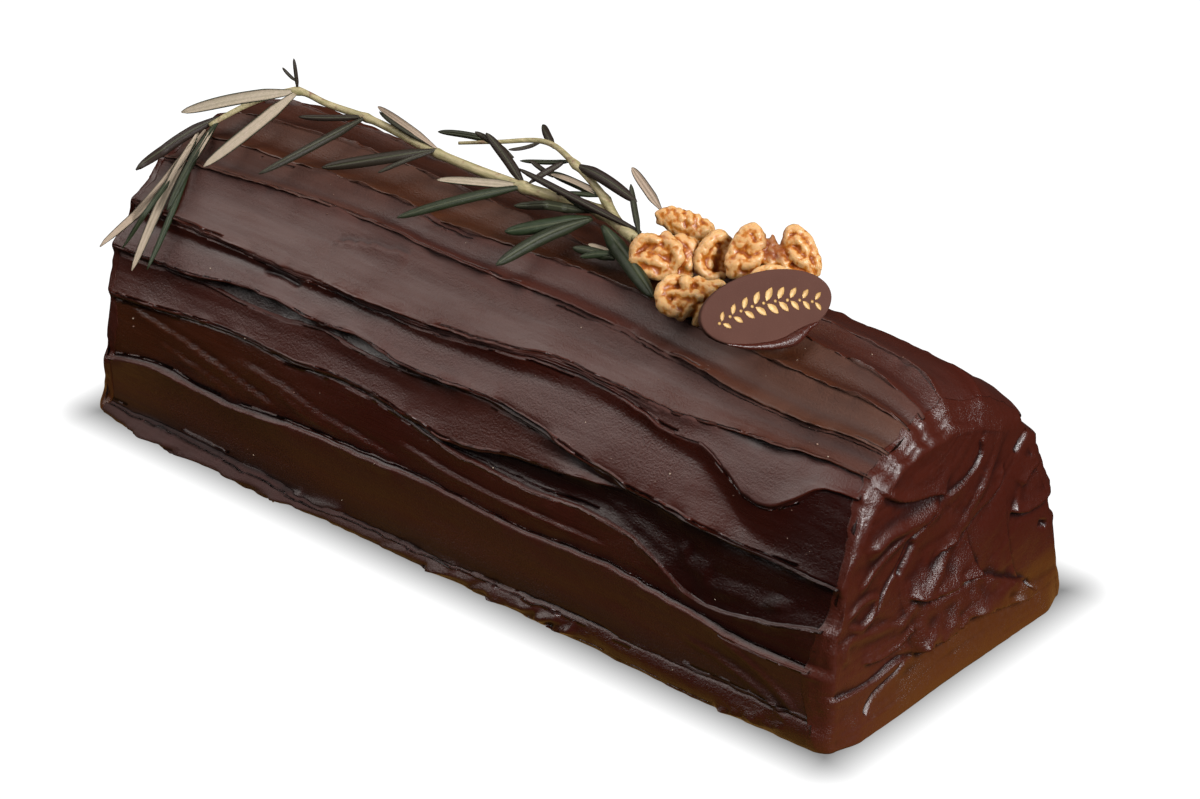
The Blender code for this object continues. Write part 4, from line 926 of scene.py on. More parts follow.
def mesh_piece(name, points, faces, surfaces, numbers=None, slots=None):
    """A smooth shaded piece from points in millimetres, whose points carry the numbers under their names."""
    mesh = bpy.data.meshes.new(name)
    mesh.from_pydata([(p[0] * MM, p[1] * MM, p[2] * MM) for p in points], [], faces)
    for label, values in (numbers or {}).items():
        made = mesh.attributes.new(label, "FLOAT", "POINT")
        made.data.foreach_set("value", np.asarray(values, np.float32))
    mesh.polygons.foreach_set("use_smooth", np.ones(len(mesh.polygons), bool))
    for surface in surfaces:
        mesh.materials.append(surface)
    if slots is not None:
        mesh.polygons.foreach_set("material_index", np.asarray(slots, np.int32))
    piece = bpy.data.objects.new(name, mesh)
    bpy.context.scene.collection.objects.link(piece)
    return piece


def stands_for(piece, node):
    """The piece rides on the log, and stands for a CAD node where one is named."""
    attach(piece, "root")
    if node:
        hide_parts(node)


def turned(degrees):
    return Euler([math.radians(a) for a in degrees], "XYZ").to_matrix()


def walnut_balls(centre, masses, ridges):
    """The balls and swollen masses of one kernel, each a place, a turn and half sizes, in millimetres."""
    facing = turned(FACING).to_4x4()
    origin = Matrix.Translation(centre) @ facing
    back_x, back_y, back_z = WALNUT_BACK
    shapes = [origin @ Matrix.Translation(mass[:3]) @ Matrix.Diagonal((*mass[3:], 1)) for mass in masses]
    for ridge in ridges:
        for start, end in zip(ridge, ridge[1:]):
            start, end = Vector(start), Vector(end)
            steps = max(2, round((end - start).length / WALNUT_STEP))
            for k in range(steps + 1):
                x, y, z, radius = start + (end - start) * (k / steps)
                behind = (WALNUT_BACK_SIZE * x + back_x, WALNUT_BACK_SIZE * y + back_y, back_z - z)
                for place in ((x, y, z), behind):
                    shapes.append(origin @ Matrix.Translation(place) @ Matrix.Diagonal((radius,) * 3 + (1,)))
    return shapes


def ball_mesh(name, shapes, voxel):
    """One closed mesh over all the stretched balls, by voxel remesh, as points and faces in millimetres."""
    work = bmesh.new()
    for shape in shapes:
        bmesh.ops.create_icosphere(work, subdivisions=2, radius=1.0, matrix=Matrix.Scale(MM, 4) @ shape)
    rough = bpy.data.meshes.new(name + "_rough")
    work.to_mesh(rough)
    work.free()
    holder = bpy.data.objects.new(name + "_rough", rough)
    bpy.context.scene.collection.objects.link(holder)
    remesh = holder.modifiers.new("whole", "REMESH")
    remesh.mode = "VOXEL"
    remesh.voxel_size = voxel * MM
    whole = bpy.data.meshes.new_from_object(holder.evaluated_get(bpy.context.evaluated_depsgraph_get()))
    points = np.empty(len(whole.vertices) * 3)
    whole.vertices.foreach_get("co", points)
    faces = [tuple(face.vertices) for face in whole.polygons]
    bpy.data.objects.remove(holder)
    bpy.data.meshes.remove(rough)
    bpy.data.meshes.remove(whole)
    return points.reshape(-1, 3) / MM, faces


def mesh_edges(faces):
    """Both ends of every edge, once in each direction."""
    pairs = np.array([pair for face in faces for pair in zip(face, face[1:] + face[:1])])
    return np.concatenate([pairs, pairs[:, ::-1]])


def relax(points, edges, times):
    """Points moved towards the mean of their neighbours a number of times."""
    count = np.bincount(edges[:, 0], minlength=len(points))[:, None]
    for _ in range(times):
        total = np.stack([np.bincount(edges[:, 0], weights=points[edges[:, 1], k], minlength=len(points))
                          for k in range(3)], axis=1)
        points = points + 0.5 * (total / count - points)
    return points


def point_normals(points, faces):
    corners = np.array([face[:3] for face in faces])
    first, second, third = [points[corners[:, k]] for k in range(3)]
    flat = np.cross(second - first, third - first)
    normals = np.zeros_like(points)
    for k in range(3):
        np.add.at(normals, corners[:, k], flat)
    return normals / np.maximum(np.linalg.norm(normals, axis=1), 1e-9)[:, None]


def make_walnuts():
    """Each kernel from masses, ridges and lumps; its creases are marked to be browner, partly as painted
    shade.
    """
    surface = walnut_surface()
    for number, (name, (centre, tone, masses, ridges)) in enumerate(WALNUTS.items()):
        points, faces = ball_mesh(name, walnut_balls(centre, masses, ridges), WALNUT_VOXEL)
        edges = mesh_edges(faces)
        points = relax(points, edges, WALNUT_SMOOTHED[0])
        normals = point_normals(points, faces)
        for height, length in WALNUT_LUMPS:
            offset = Vector((0, 0, 50.0 * number + length))
            lumps = np.array([fractal(Vector(p) / length + offset, *WALNUT_LUMP_NOISE) for p in points])
            lumps = np.clip(lumps, -WALNUT_LUMP_MOST, WALNUT_LUMP_MOST)
            points = points + normals * (height * lumps)[:, None]
        points = relax(points, edges, WALNUT_SMOOTHED[1])
        normals = point_normals(points, faces)
        # the crease number browns the creases, partly painted shade, and leaves raised lobes cream, partly
        # painted highlight
        raised = np.sum((points - relax(points, edges, WALNUT_CREASE_REACH)) * normals, axis=1)
        crease = np.clip(0.5 - raised / (2 * WALNUT_CREASES), 0.0, 1.0)
        brown = np.full(len(points), tone)
        if name == SPLIT_WALNUT:
            local = (points - np.array(centre)) @ np.array(turned(FACING))
            across = np.abs(local[:, 0] - WALL_MIDDLE) / WALL_HALF
            brown += smoothstep(WALL_SIDE_FADE - across) * smoothstep((local[:, 1] - WALL_FOOT) / WALL_FADE)
        numbers = {"crease": crease, "brown": np.clip(brown, 0, 1)}
        stands_for(mesh_piece(name, points, faces, [surface], numbers), name)


def even_points(points, count):
    """Points evenly spread along a smooth line through the given ones."""
    given = np.array(points, float)
    run = np.concatenate([[0.0], np.cumsum(np.linalg.norm(np.diff(given, axis=0), axis=1))])
    at = np.linspace(0.0, run[-1], count)
    return np.stack([smooth_through(list(zip(run, given[:, k])))(at) for k in range(given.shape[1])], axis=1)


def leaf_width(t):
    """A leaf's width at a share of its length: drawn in at its foot and blunt at its tip."""
    start, widening, sharpness = LEAF_FOOT
    narrowing, bluntness, least = LEAF_TIP
    foot = min(start + t / widening, 1.0) ** sharpness
    tip = math.sqrt(max(1 - max((t - narrowing) / (1 - narrowing), 0.0) ** bluntness, least))
    return foot * tip


class Sprig:
    """Gathers the closed shells of the rosemary into one mesh."""

    def __init__(self, tree):
        self.tree = tree
        self.points, self.faces, self.slots, self.tones, self.across = [], [], [], [], []

    def lifted(self, points, gap):
        """The line moved in one direction, smoothly, so that it stays clear of the ganache."""
        needs = []
        for point in points:
            nearest, normal, _, distance = self.tree.find_nearest(point)
            outside = (point - nearest).dot(normal) > -0.5 * distance
            needs.append(max(gap - distance if outside else gap + distance, 0.0))
        reach = len(points) // 8
        padded = np.pad(needs, reach, mode="edge")
        most = np.array([padded[k:k + 2 * reach + 1].max() for k in range(len(points))])
        window = np.ones(2 * reach + 1) / (2 * reach + 1)
        smooth = np.convolve(np.pad(most, reach, mode="edge"), window, "valid")
        return [point + Vector(LIFT_WAY) * lift for point, lift in zip(points, smooth)]

    def rings(self, rings, slots, tone, across=None):
        """Adds a closed shell from rings of points; slots gives the material of each face round a ring."""
        sides = len(rings[0])
        self.faces += shell_faces(len(self.points), len(rings), sides)
        self.slots += slots * (len(rings) - 1) + [slots[0], slots[0]]
        for ring in rings:
            self.points += [tuple(p) for p in ring]
            self.tones += [tone] * sides
            self.across += across or [0.5] * sides

    def tube(self, points, radii):
        """A round stem along the points."""
        rings = []
        centres = self.lifted([Vector(p) for p in points], radii.mean() + LEAF_GAP)
        for k, (centre, radius) in enumerate(zip(centres, radii)):
            ahead = centres[min(k + 1, len(centres) - 1)] - centres[max(k - 1, 0)]
            across = ahead.cross(Vector((0, 0, 1))).normalized()
            up = across.cross(ahead).normalized()
            angles = [2 * math.pi * turn / TUBE_SIDES for turn in range(TUBE_SIDES)]
            rings.append([centre + (across * math.cos(a) + up * math.sin(a)) * radius for a in angles])
        self.rings(rings, [0] * TUBE_SIDES, STEM_TONE)

    def leaf(self, number, base, tip, width, bow, lies, tone):
        """A narrow blade with a groove above, rolled edges, and a rib below."""
        draw = np.random.default_rng(LEAF_SEED + number)
        base, tip = Vector(base), Vector(tip)
        run = tip - base
        facing = Vector(LEAF_FACING) + Vector(draw.uniform(-LEAF_TURN, LEAF_TURN, 3))
        face = (facing - run * (facing.dot(run) / run.dot(run))).normalized()
        across = run.cross(face).normalized()
        if lies == "under":
            face, across = -face, -across
        up = across.cross(run).normalized()
        up = up if up.z > 0 else -up
        sway, twist = draw.uniform(-LEAF_SWAY, LEAF_SWAY), draw.uniform(-LEAF_TWIST, LEAF_TWIST)
        places = np.linspace(0.0, 1.0, LEAF_RINGS)
        arch = (up * bow + across * sway) * run.length
        line = self.lifted([base + run * t + arch * math.sin(math.pi * t) for t in places],
                           LEAF_THICK * width + LEAF_GAP)
        rings = []
        for t, middle in zip(places, line):
            half = LEAF_NARROW * width / 2 * leaf_width(t)
            roll = twist * (t - LEAF_TWIST_FROM)
            wide = across * math.cos(roll) + face * math.sin(roll)
            thick = face * math.cos(roll) - across * math.sin(roll)
            ring = []
            for place, height in LEAF_SECTION:
                droop = LEAF_DROOP * place * place * half
                ring.append(middle + wide * (place * half) + thick * (height * LEAF_THICK * half * 2 - droop))
            rings.append(ring)
        sides = len(LEAF_SECTION)
        slots = [1 if turn <= LEAF_UPPER or turn == sides - 1 else 2 for turn in range(sides)]
        self.rings(rings, slots, tone, [abs(place) for place, _ in LEAF_SECTION])


def make_rosemary(tree):
    """The sprig: both stems, swollen where the leaves spring from them, and every leaf."""
    sprig = Sprig(tree)
    for line, radius, count in ((STEM, STEM_RADIUS, STEM_STEPS), (SHOOT, SHOOT_RADIUS, SHOOT_STEPS)):
        points = even_points(line, count)
        radii = np.linspace(radius[0], radius[1], count)
        swell, wide = NODE_SWELL
        for node in NODES_AT:
            radii = radii + swell * np.exp(-(np.linalg.norm(points - np.array(node), axis=1) / wide) ** 2)
        sprig.tube(points, radii)
    for number, leaf in enumerate(LEAVES):
        sprig.leaf(number, *leaf)
    surfaces = [stem_surface(), leaf_surface(), under_leaf_surface()]
    numbers = {"tone": sprig.tones, "across": sprig.across}
    piece = mesh_piece("rosemary", sprig.points, sprig.faces, surfaces, numbers, sprig.slots)
    stands_for(piece, "rosemary_sprig")


def make_crumbs(log):
    """Pale crumbs of walnut and sugar, pressed a little into the ganache over the top and the front."""
    draw = np.random.default_rng(CRUMB_SEED)
    log_points = [corner.co / MM for corner in log.data.vertices]
    normals = [corner.normal for corner in log.data.vertices]
    open_skin = [k for k, point in enumerate(log_points)
                 if normals[k].z > CRUMB_UPWARD and point.y < CRUMB_BACK and abs(point.x) < CRUMB_OUT]
    ball = bmesh.new()
    bmesh.ops.create_icosphere(ball, subdivisions=1, radius=1.0)
    shape = [corner.co.copy() for corner in ball.verts]
    shape_faces = [[corner.index for corner in face.verts] for face in ball.faces]
    ball.free()
    points, faces = [], []
    for place in draw.choice(open_skin, CRUMBS, replace=False):
        size = CRUMB_SIZES[0] + (CRUMB_SIZES[1] - CRUMB_SIZES[0]) * draw.random() ** 3
        turn = Euler(draw.uniform(0, 6.28, 3)).to_matrix() @ Matrix.Diagonal(draw.uniform(*CRUMB_STRETCH, 3))
        first = len(points)
        centre = log_points[place] + normals[place] * (CRUMB_PROUD * size)
        points += [centre + (turn @ corner) * (size * draw.uniform(*CRUMB_CORNERS)) for corner in shape]
        faces += [[first + corner for corner in face] for face in shape_faces]
    stands_for(mesh_piece("crumbs", points, faces, [crumb_surface()]), None)


def outline(half_long, half_short, count):
    """Points round an ellipse."""
    return [(half_long * math.cos(a), half_short * math.sin(a))
            for a in np.linspace(0, 2 * math.pi, count, endpoint=False)]


def make_plaque():
    """The oval plaque with a rounded rim, a raised gold garland on it, and a dab of ganache at its foot."""
    rings = []
    turns = np.linspace(0, math.pi / 2, PLAQUE_RIM_STEPS + 1)
    for side in (-1, 1):
        for turn in (turns if side > 0 else turns[::-1]):
            inset = PLAQUE_EDGE * (1 - math.cos(turn))
            z = side * (PLAQUE_THICK / 2 - PLAQUE_EDGE * (1 - math.sin(turn)))
            rings.append((PLAQUE_LONG / 2 - inset, PLAQUE_SHORT / 2 - inset, z))
    half_long, half_short = PLAQUE_LONG / 2 - PLAQUE_EDGE, PLAQUE_SHORT / 2 - PLAQUE_EDGE
    rings += [(half_long * share, half_short * share, PLAQUE_THICK / 2) for share in PLAQUE_FACE_RINGS]
    centre, turn = Vector(PLAQUE_CENTRE), turned(PLAQUE_TURN)
    points = [centre + turn @ Vector((x, y, z)) for a, b, z in rings for x, y in outline(a, b, PLAQUE_SIDES)]
    faces = shell_faces(0, len(rings), PLAQUE_SIDES)
    stands_for(mesh_piece("plaque_oval", points, faces, [plaque_surface()]), "plaque")
    make_garland(centre, turn)
    make_dab(centre, turn)


def shell_faces(first, rings, sides):
    """The faces of a closed shell whose points are rings of so many sides, numbered on from the first."""
    faces = []
    for a in range(first, first + (rings - 1) * sides, sides):
        for t in range(sides):
            after = (t + 1) % sides
            faces.append((a + t, a + after, a + sides + after, a + sides + t))
    faces.append(tuple(first + t for t in reversed(range(sides))))
    faces.append(tuple(first + (rings - 1) * sides + t for t in range(sides)))
    return faces


def garland_shapes():
    """Outlines of the garland on the plaque's face: pairs of leaves and berries along a gentle arch."""
    shapes = []
    berry, beside = GARLAND_BERRY
    spread, swing = GARLAND_LEAN
    for share in np.linspace(-1, 1, GARLAND_PAIRS):
        x, y = GARLAND_HALF * share, GARLAND_ARCH * (0.5 - share * share)
        size = GARLAND_LEAF * (1 - GARLAND_TAPER * abs(share))
        for side in (-1, 1):
            lean = math.radians(side * spread - swing * share)
            blade = []
            for along, wide in GARLAND_BLADE:
                px, py = size * along + GARLAND_STALK, size * wide
                blade.append((x + px * math.cos(lean) - py * math.sin(lean),
                              y + px * math.sin(lean) + py * math.cos(lean)))
            shapes.append(blade)
        shapes.append([(x + beside + px, y + py) for px, py in outline(berry, berry, GARLAND_BERRY_SIDES)])
    return shapes


def make_garland(centre, turn):
    """Thin raised gold shapes, sunk a little into the plaque."""
    points, faces = [], []
    for shape in garland_shapes():
        faces += shell_faces(len(points), len(GARLAND_LAYERS), len(shape))
        middle = np.mean(shape, axis=0)
        for height, size in GARLAND_LAYERS:
            for x, y in middle + (np.array(shape) - middle) * size:
                points.append(centre + turn @ Vector((x, y, PLAQUE_THICK / 2 + height)))
    piece = mesh_piece("plaque_garland", points, faces, [gold_surface()])
    stands_for(piece, None)


def make_dab(centre, turn):
    """The squeezed-out roll of ganache along the plaque's foot."""
    shapes = []
    for x, y, radius in even_points(DAB, DAB_STEPS):
        for depth in DAB_DEPTHS:
            place = centre + turn @ Vector((x, y - DAB_SAG * depth, depth))
            shapes.append(Matrix.Translation(place) @ Matrix.Diagonal((radius,) * 3 + (1,)))
    points, faces = ball_mesh("dab", shapes, DAB_VOXEL)
    points = relax(points, mesh_edges(faces), DAB_SMOOTHED)
    gloss = {"gloss": np.full(len(points), DAB_GLOSS)}
    stands_for(mesh_piece("ganache_dab", points, faces, [ganache_surface()], gloss), None)


class Nodes:
    """A material's node tree, with short calls to add to it."""

    def __init__(self, name):
        self.material = bpy.data.materials.new(name)
        self.material.use_nodes = True
        self.tree = self.material.node_tree
        self.shader = self.tree.nodes["Principled BSDF"]

    def add(self, kind, **settings):
        node = self.tree.nodes.new(kind)
        for key, value in settings.items():
            setattr(node, key, value)
        return node

    def join(self, output, socket):
        self.tree.links.new(output, socket)

    def colour(self, output):
        self.join(output, self.shader.inputs["Base Color"])

    def normal(self, output):
        self.join(output, self.shader.inputs["Normal"])

    def place(self, stretch=(1, 1, 1)):
        """Object coordinates in millimetres, stretched."""
        where = self.add("ShaderNodeTexCoord")
        scale = self.add("ShaderNodeMapping")
        scale.inputs["Scale"].default_value = [1000.0 * k for k in stretch]
        self.join(where.outputs["Object"], scale.inputs["Vector"])
        return scale.outputs["Vector"]

    def noise(self, scale, detail=3.0, roughness=0.5, stretch=(1, 1, 1)):
        """Noise whose bumps are 1 / scale millimetres across."""
        node = self.add("ShaderNodeTexNoise")
        node.inputs["Scale"].default_value = scale
        node.inputs["Detail"].default_value = detail
        node.inputs["Roughness"].default_value = roughness
        self.join(self.place(stretch), node.inputs["Vector"])
        return node.outputs["Fac"]

    def number(self, name):
        """A number that each point of the mesh carries."""
        node = self.add("ShaderNodeAttribute", attribute_name=name)
        return node.outputs["Fac"]

    def span(self, value, low, high, to_low=0.0, to_high=1.0):
        """A value moved from one range to another."""
        node = self.add("ShaderNodeMapRange")
        node.clamp = True
        self.join(value, node.inputs["Value"])
        for label, number in (("From Min", low), ("From Max", high), ("To Min", to_low), ("To Max", to_high)):
            node.inputs[label].default_value = number
        return node.outputs["Result"]

    def maths(self, operation, first, second):
        """Two numbers put together, each a number or another node's output."""
        node = self.add("ShaderNodeMath", operation=operation)
        for socket, value in zip(node.inputs, (first, second)):
            if isinstance(value, float):
                socket.default_value = value
            else:
                self.join(value, socket)
        return node.outputs["Value"]

    def vectors(self, operation, first, second=None, result="Vector"):
        """A vector from another node's output and, where one is given, a constant."""
        node = self.add("ShaderNodeVectorMath", operation=operation)
        self.join(first, node.inputs[0])
        if second is not None:
            node.inputs[1].default_value = second
        return node.outputs[result]

    def glow(self, colour):
        node = self.add("ShaderNodeEmission")
        self.join(colour, node.inputs["Color"])
        return node.outputs["Emission"]

    def mix(self, share, first, second):
        """A colour between two, each a colour or another node's output."""
        node = self.add("ShaderNodeMix", data_type="RGBA")
        if isinstance(share, float):
            node.inputs["Factor"].default_value = share
        else:
            self.join(share, node.inputs["Factor"])
        for socket, value in ((node.inputs[6], first), (node.inputs[7], second)):
            if isinstance(value, tuple):
                socket.default_value = (*value, 1.0)
            else:
                self.join(value, socket)
        return node.outputs[2]

    def bump(self, height, distance, strength=1.0, under=None):
        """A bump of the given depth in millimetres, on top of another if given."""
        node = self.add("ShaderNodeBump")
        node.inputs["Strength"].default_value = strength
        node.inputs["Distance"].default_value = distance * MM
        self.join(height, node.inputs["Height"])
        if under is not None:
            self.join(under, node.inputs["Normal"])
        return node.outputs["Normal"]


def ganache_surface():
    """Dark ganache: painted shade in hollows, ochre painted reflection of the board low down, satin to
    glossy, grained in patches.
    """
    made = Nodes("ganache")
    patches = made.noise(0.03, detail=3.0, stretch=(0.35, 1, 1))
    tone = made.mix(made.span(patches, 0.35, 0.68), GANACHE_DARK, GANACHE_BROWN)
    # ochre tint: painted reflection of the gilt board low down, a warmer brown on the top
    warmed = made.mix(made.number("ochre_and_reflection"), tone, GANACHE_OCHRE_AND_REFLECTION)
    # painted shade darkens the colour towards maroon black
    made.colour(made.mix(made.number("shade"), warmed, GANACHE_PAINTED_SHADE))
    streaks = made.noise(1.0, detail=2.0, stretch=(0.05, 1, 1))
    satin = made.span(streaks, 0.3, 0.7, 0.40, 0.50)
    glossy = made.span(streaks, 0.3, 0.7, 0.20, 0.30)
    blend = made.add("ShaderNodeMix", data_type="FLOAT")
    made.join(made.number("gloss"), blend.inputs["Factor"])
    made.join(satin, blend.inputs["A"])
    made.join(glossy, blend.inputs["B"])
    matt = made.span(made.number("gloss"), -1.0, 0.0, 0.34, 0.0)
    hollow = made.span(made.number("shade"), 0.2, 1.0, 0.0, 0.05)
    rough = made.maths("ADD", blend.outputs["Result"], made.maths("ADD", matt, hollow))
    made.join(rough, made.shader.inputs["Roughness"])
    leather = made.noise(1.5, detail=4.0, roughness=0.62)
    where = made.span(made.noise(0.07, detail=3.0, stretch=(0.5, 1, 1)), 0.38, 0.58, 0.22, 1.0)
    grain = made.bump(made.maths("MULTIPLY", leather, where), 0.27)
    grain = made.bump(made.noise(2.2, detail=2.0), 0.07, under=grain)
    made.normal(made.bump(streaks, 0.05, under=grain))
    made.shader.inputs["IOR"].default_value = 1.47
    return made.material


def set_shader(shader, roughness, ior=1.45, coat=0.0, coat_roughness=0.2):
    """The shader's own constants."""
    shader.inputs["Roughness"].default_value = roughness
    shader.inputs["IOR"].default_value = ior
    shader.inputs["Coat Weight"].default_value = coat
    shader.inputs["Coat Roughness"].default_value = coat_roughness


def walnut_surface():
    """Glazed kernel: cream lobes, partly painted highlight; golden between; brown creases, partly painted
    shade.
    """
    made = Nodes("walnut")
    crease = made.number("crease")
    mottle = made.noise(0.7, detail=4.0, roughness=0.6)
    # cream on raised lobes is partly painted highlight, brown in creases partly painted shade
    worn = made.maths("ADD", crease, made.span(mottle, 0.3, 0.7, -0.28, 0.28))
    golden = made.mix(made.span(worn, 0.12, 0.52), WALNUT_CREAM_AND_HIGHLIGHT, WALNUT_GOLD)
    deep = made.mix(made.span(worn, 0.5, 0.95), golden, WALNUT_BROWN_AND_SHADE)
    browned = made.mix(made.maths("MULTIPLY", made.number("brown"), 0.75), deep, WALNUT_WALL)
    made.colour(browned)
    fine = made.bump(made.noise(2.2, detail=3.0), 0.10)
    made.normal(made.bump(made.noise(7.0, detail=2.0), 0.03, under=fine))
    set_shader(made.shader, 0.5, ior=1.34, coat=0.25, coat_roughness=0.22)
    made.shader.inputs["Subsurface Weight"].default_value = 0.2
    made.shader.inputs["Subsurface Radius"].default_value = (1.0, 0.45, 0.15)
    made.shader.inputs["Subsurface Scale"].default_value = 1.2 * MM
    return made.material


def leaf_surface():
    """The upper side of a rosemary leaf: dark, matt and finely pebbled."""
    made = Nodes("rosemary_leaf")
    mottle = made.noise(0.5, detail=3.0)
    green = made.mix(made.span(mottle, 0.35, 0.7), LEAF_GREEN, LEAF_LIGHTER)
    toned = made.mix(made.number("tone"), green, LEAF_BROWN)
    groove = made.span(made.number("across"), 0.02, 0.22, 0.6, 0.0)
    made.colour(made.mix(groove, toned, LEAF_GROOVE))
    made.normal(made.bump(made.noise(3.5, detail=2.0), 0.10))
    set_shader(made.shader, 0.55, ior=1.36)
    return made.material


def under_leaf_surface():
    """The pale felted underside, tinted pink brown on the browner leaves."""
    made = Nodes("rosemary_under_leaf")
    mottle = made.noise(0.9, detail=3.0)
    pale = made.mix(made.span(mottle, 0.3, 0.75), UNDER_PALE, UNDER_SHADE)
    share = made.maths("MULTIPLY", made.number("tone"), 0.55)
    toned = made.mix(share, pale, UNDER_BROWN)
    edge = made.span(made.number("across"), 0.62, 0.85)
    made.colour(made.mix(edge, toned, UNDER_EDGE))
    made.normal(made.bump(made.noise(4.0, detail=2.0), 0.05))
    set_shader(made.shader, 0.75)
    return made.material


def stem_surface():
    """The pale green stem, streaked along and browner in spots."""
    made = Nodes("rosemary_stem")
    streaks = made.noise(1.4, detail=3.0, stretch=(0.15, 1, 1))
    pale = made.mix(made.span(streaks, 0.35, 0.68), STEM_PALE, STEM_GREEN)
    spots = made.noise(0.35, detail=4.0, roughness=0.65)
    made.colour(made.mix(made.span(spots, 0.56, 0.70), pale, STEM_BROWN))
    made.normal(made.bump(streaks, 0.12))
    set_shader(made.shader, 0.55)
    return made.material


def crumb_surface():
    """Crumbs of nut and sugar, some pale and some brown."""
    made = Nodes("crumb")
    shade = made.noise(0.35, detail=1.0)
    made.colour(made.mix(made.span(shade, 0.4, 0.6), CRUMB_PALE, CRUMB_BROWN))
    set_shader(made.shader, 0.5)
    return made.material


def plaque_surface():
    """Tempered milk chocolate with a faint bloom and fine grain."""
    made = Nodes("plaque_chocolate")
    bloom = made.noise(0.12, detail=4.0)
    speck = made.noise(2.5, detail=2.0)
    base = made.mix(made.span(bloom, 0.3, 0.72), PLAQUE_DARK, PLAQUE_LIGHT)
    made.colour(made.mix(made.span(speck, 0.62, 0.75, 0.0, 0.35), base, PLAQUE_BLOOM))
    made.normal(made.bump(speck, 0.03))
    set_shader(made.shader, 0.8, ior=1.25)
    return made.material


def gold_surface():
    """Edible gold, a little worn."""
    made = Nodes("gold_print")
    worn = made.noise(1.1, detail=3.0)
    made.colour(made.mix(made.span(worn, 0.35, 0.7), GOLD_BRIGHT, GOLD_DULL))
    made.normal(made.bump(worn, 0.02))
    set_shader(made.shader, 0.45)
    made.shader.inputs["Metallic"].default_value = 0.15
    return made.material


def make_camera():
    """The photograph's view: from the front right, looking down at about 31 degrees."""
    camera = bpy.data.objects.new("camera", bpy.data.cameras.new("camera"))
    camera.location = CAMERA_PLACE
    camera.rotation_euler = (math.radians(90 - CAMERA_DOWN), 0.0, math.radians(CAMERA_HEADING))
    camera.data.lens = CAMERA_LENS
    camera.data.sensor_width = CAMERA_SENSOR
    bpy.context.scene.collection.objects.link(camera)
    bpy.context.scene.camera = camera


def make_light(name, direction, distance, size, power, colour, mirrors):
    """A soft rectangular light that looks at the cake from a direction."""
    lamp = bpy.data.lights.new(name, "AREA")
    lamp.shape = "RECTANGLE"
    lamp.size, lamp.size_y = size
    lamp.energy = power
    lamp.color = colour
    holder = bpy.data.objects.new(name, lamp)
    way = Vector(direction).normalized()
    holder.location = way * distance
    holder.rotation_euler = way.to_track_quat("Z", "Y").to_euler()
    holder.visible_glossy = mirrors
    bpy.context.scene.collection.objects.link(holder)


def make_floor():
    """A floor glowing white with a painted shadow round the log; mirrored and scattered rays see a glowing
    gilt board.
    """
    made = Nodes("floor")
    made.tree.nodes.remove(made.shader)
    spread = made.vectors("ABSOLUTE", made.place())
    beyond = made.vectors("SUBTRACT", spread, (LENGTH / 2, WIDTH / 2, 0.0))
    outside = made.vectors("MAXIMUM", beyond, (0.0, 0.0, 0.0))
    distance = made.vectors("LENGTH", outside, result="Value")
    # painted shadow round the log, in the floor's white glow
    reach, depth = PAINTED_CONTACT_SHADOW
    white = made.mix(made.span(distance, 0.0, reach, depth, 0.0), (FLOOR_WHITE,) * 3, (0.0, 0.0, 0.0))
    # the glow of the gilt board, for every ray but the camera's
    board = made.mix(made.span(distance, *BOARD_EDGE), BOARD_GLOW, BEYOND_BOARD_GLOW)
    path = made.add("ShaderNodeLightPath")
    choose = made.add("ShaderNodeMixShader")
    made.join(path.outputs["Is Camera Ray"], choose.inputs["Fac"])
    made.join(made.glow(board), choose.inputs[1])
    made.join(made.glow(white), choose.inputs[2])
    made.join(choose.outputs["Shader"], made.tree.nodes["Material Output"].inputs["Surface"])
    corners = [(FLOOR_HALF * x, FLOOR_HALF * y, 0) for x, y in ((-1, -1), (1, -1), (1, 1), (-1, 1))]
    mesh_piece("floor", corners, [(0, 1, 2, 3)], [made.material])


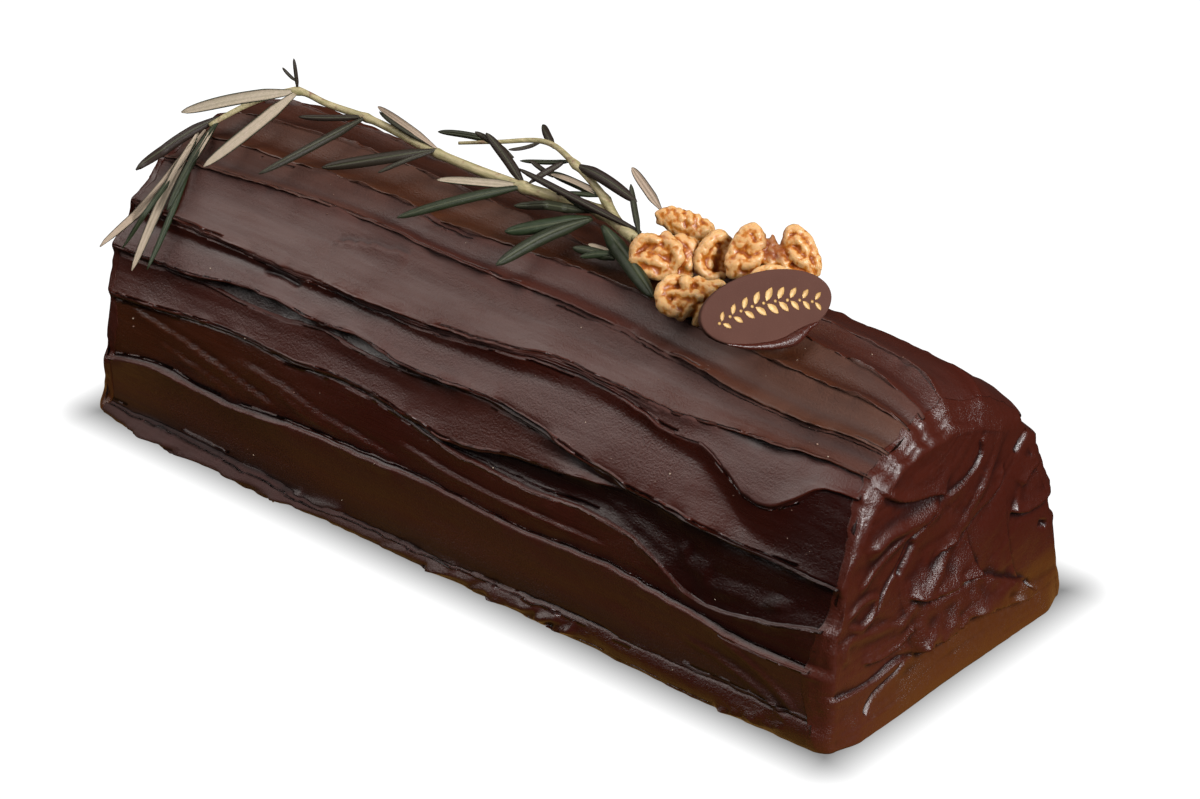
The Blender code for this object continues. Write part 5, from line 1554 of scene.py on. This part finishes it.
def make_world():
    """White to the camera, dim to soft shading, and almost dark to mirrored rays."""
    world = bpy.data.worlds.new("world")
    world.use_nodes = True
    tree = world.node_tree
    path = tree.nodes.new("ShaderNodeLightPath")
    strength = None
    for ray, amount in WORLD:
        part = tree.nodes.new("ShaderNodeMath")
        part.operation = "MULTIPLY_ADD"
        tree.links.new(path.outputs[ray], part.inputs[0])
        part.inputs[1].default_value = amount
        if strength is None:
            part.inputs[2].default_value = 0.0
        else:
            tree.links.new(strength, part.inputs[2])
        strength = part.outputs["Value"]
    tree.nodes["Background"].inputs["Color"].default_value = (1, 1, 1, 1)
    tree.links.new(strength, tree.nodes["Background"].inputs["Strength"])
    bpy.context.scene.world = world


def make_studio():
    """The camera, the floor, the surroundings and the lights."""
    make_camera()
    make_floor()
    make_world()
    for light in LIGHTS:
        make_light(*light)
    bpy.context.scene.view_settings.view_transform = "Standard"


def make_ganache():
    """The log's pieces; returns a search tree of their skin and the piece with the long sides."""
    surface = ganache_surface()
    rims = (NEAR_RIM, FAR_RIM)
    points, faces, numbers, ends = log_body(rims)
    pieces = [mesh_piece("ganache_log", points, faces, [surface], numbers)]
    skin, skin_faces = [Vector(p) for p in points], list(faces)
    for name, side, folds, (at, relief) in (("ganache_near_end", 1, NEAR_FOLDS, ends[0]),
                                            ("ganache_far_end", -1, FAR_FOLDS, ends[1])):
        even = np.linspace(0, GIRTH, END_SAMPLES)
        smoothed = np.convolve(np.interp(even, at, relief), np.ones(END_SMOOTHED) / END_SMOOTHED, "same")
        body_relief = smooth_through(list(zip(even, smoothed)))
        points, faces, numbers = end_smear(side, rims, folds, body_relief)
        pieces.append(mesh_piece(name, points, faces, [surface], numbers))
        skin_faces += [[corner + len(skin) for corner in face] for face in faces]
        skin += [Vector(p) for p in points]
    for piece in pieces:
        stands_for(piece, "log_cake")
    return BVHTree.FromPolygons(skin, skin_faces), pieces[0]


def main():
    make_studio()
    tree, log = make_ganache()
    make_walnuts()
    make_rosemary(tree)
    make_plaque()
    make_crumbs(log)


main()
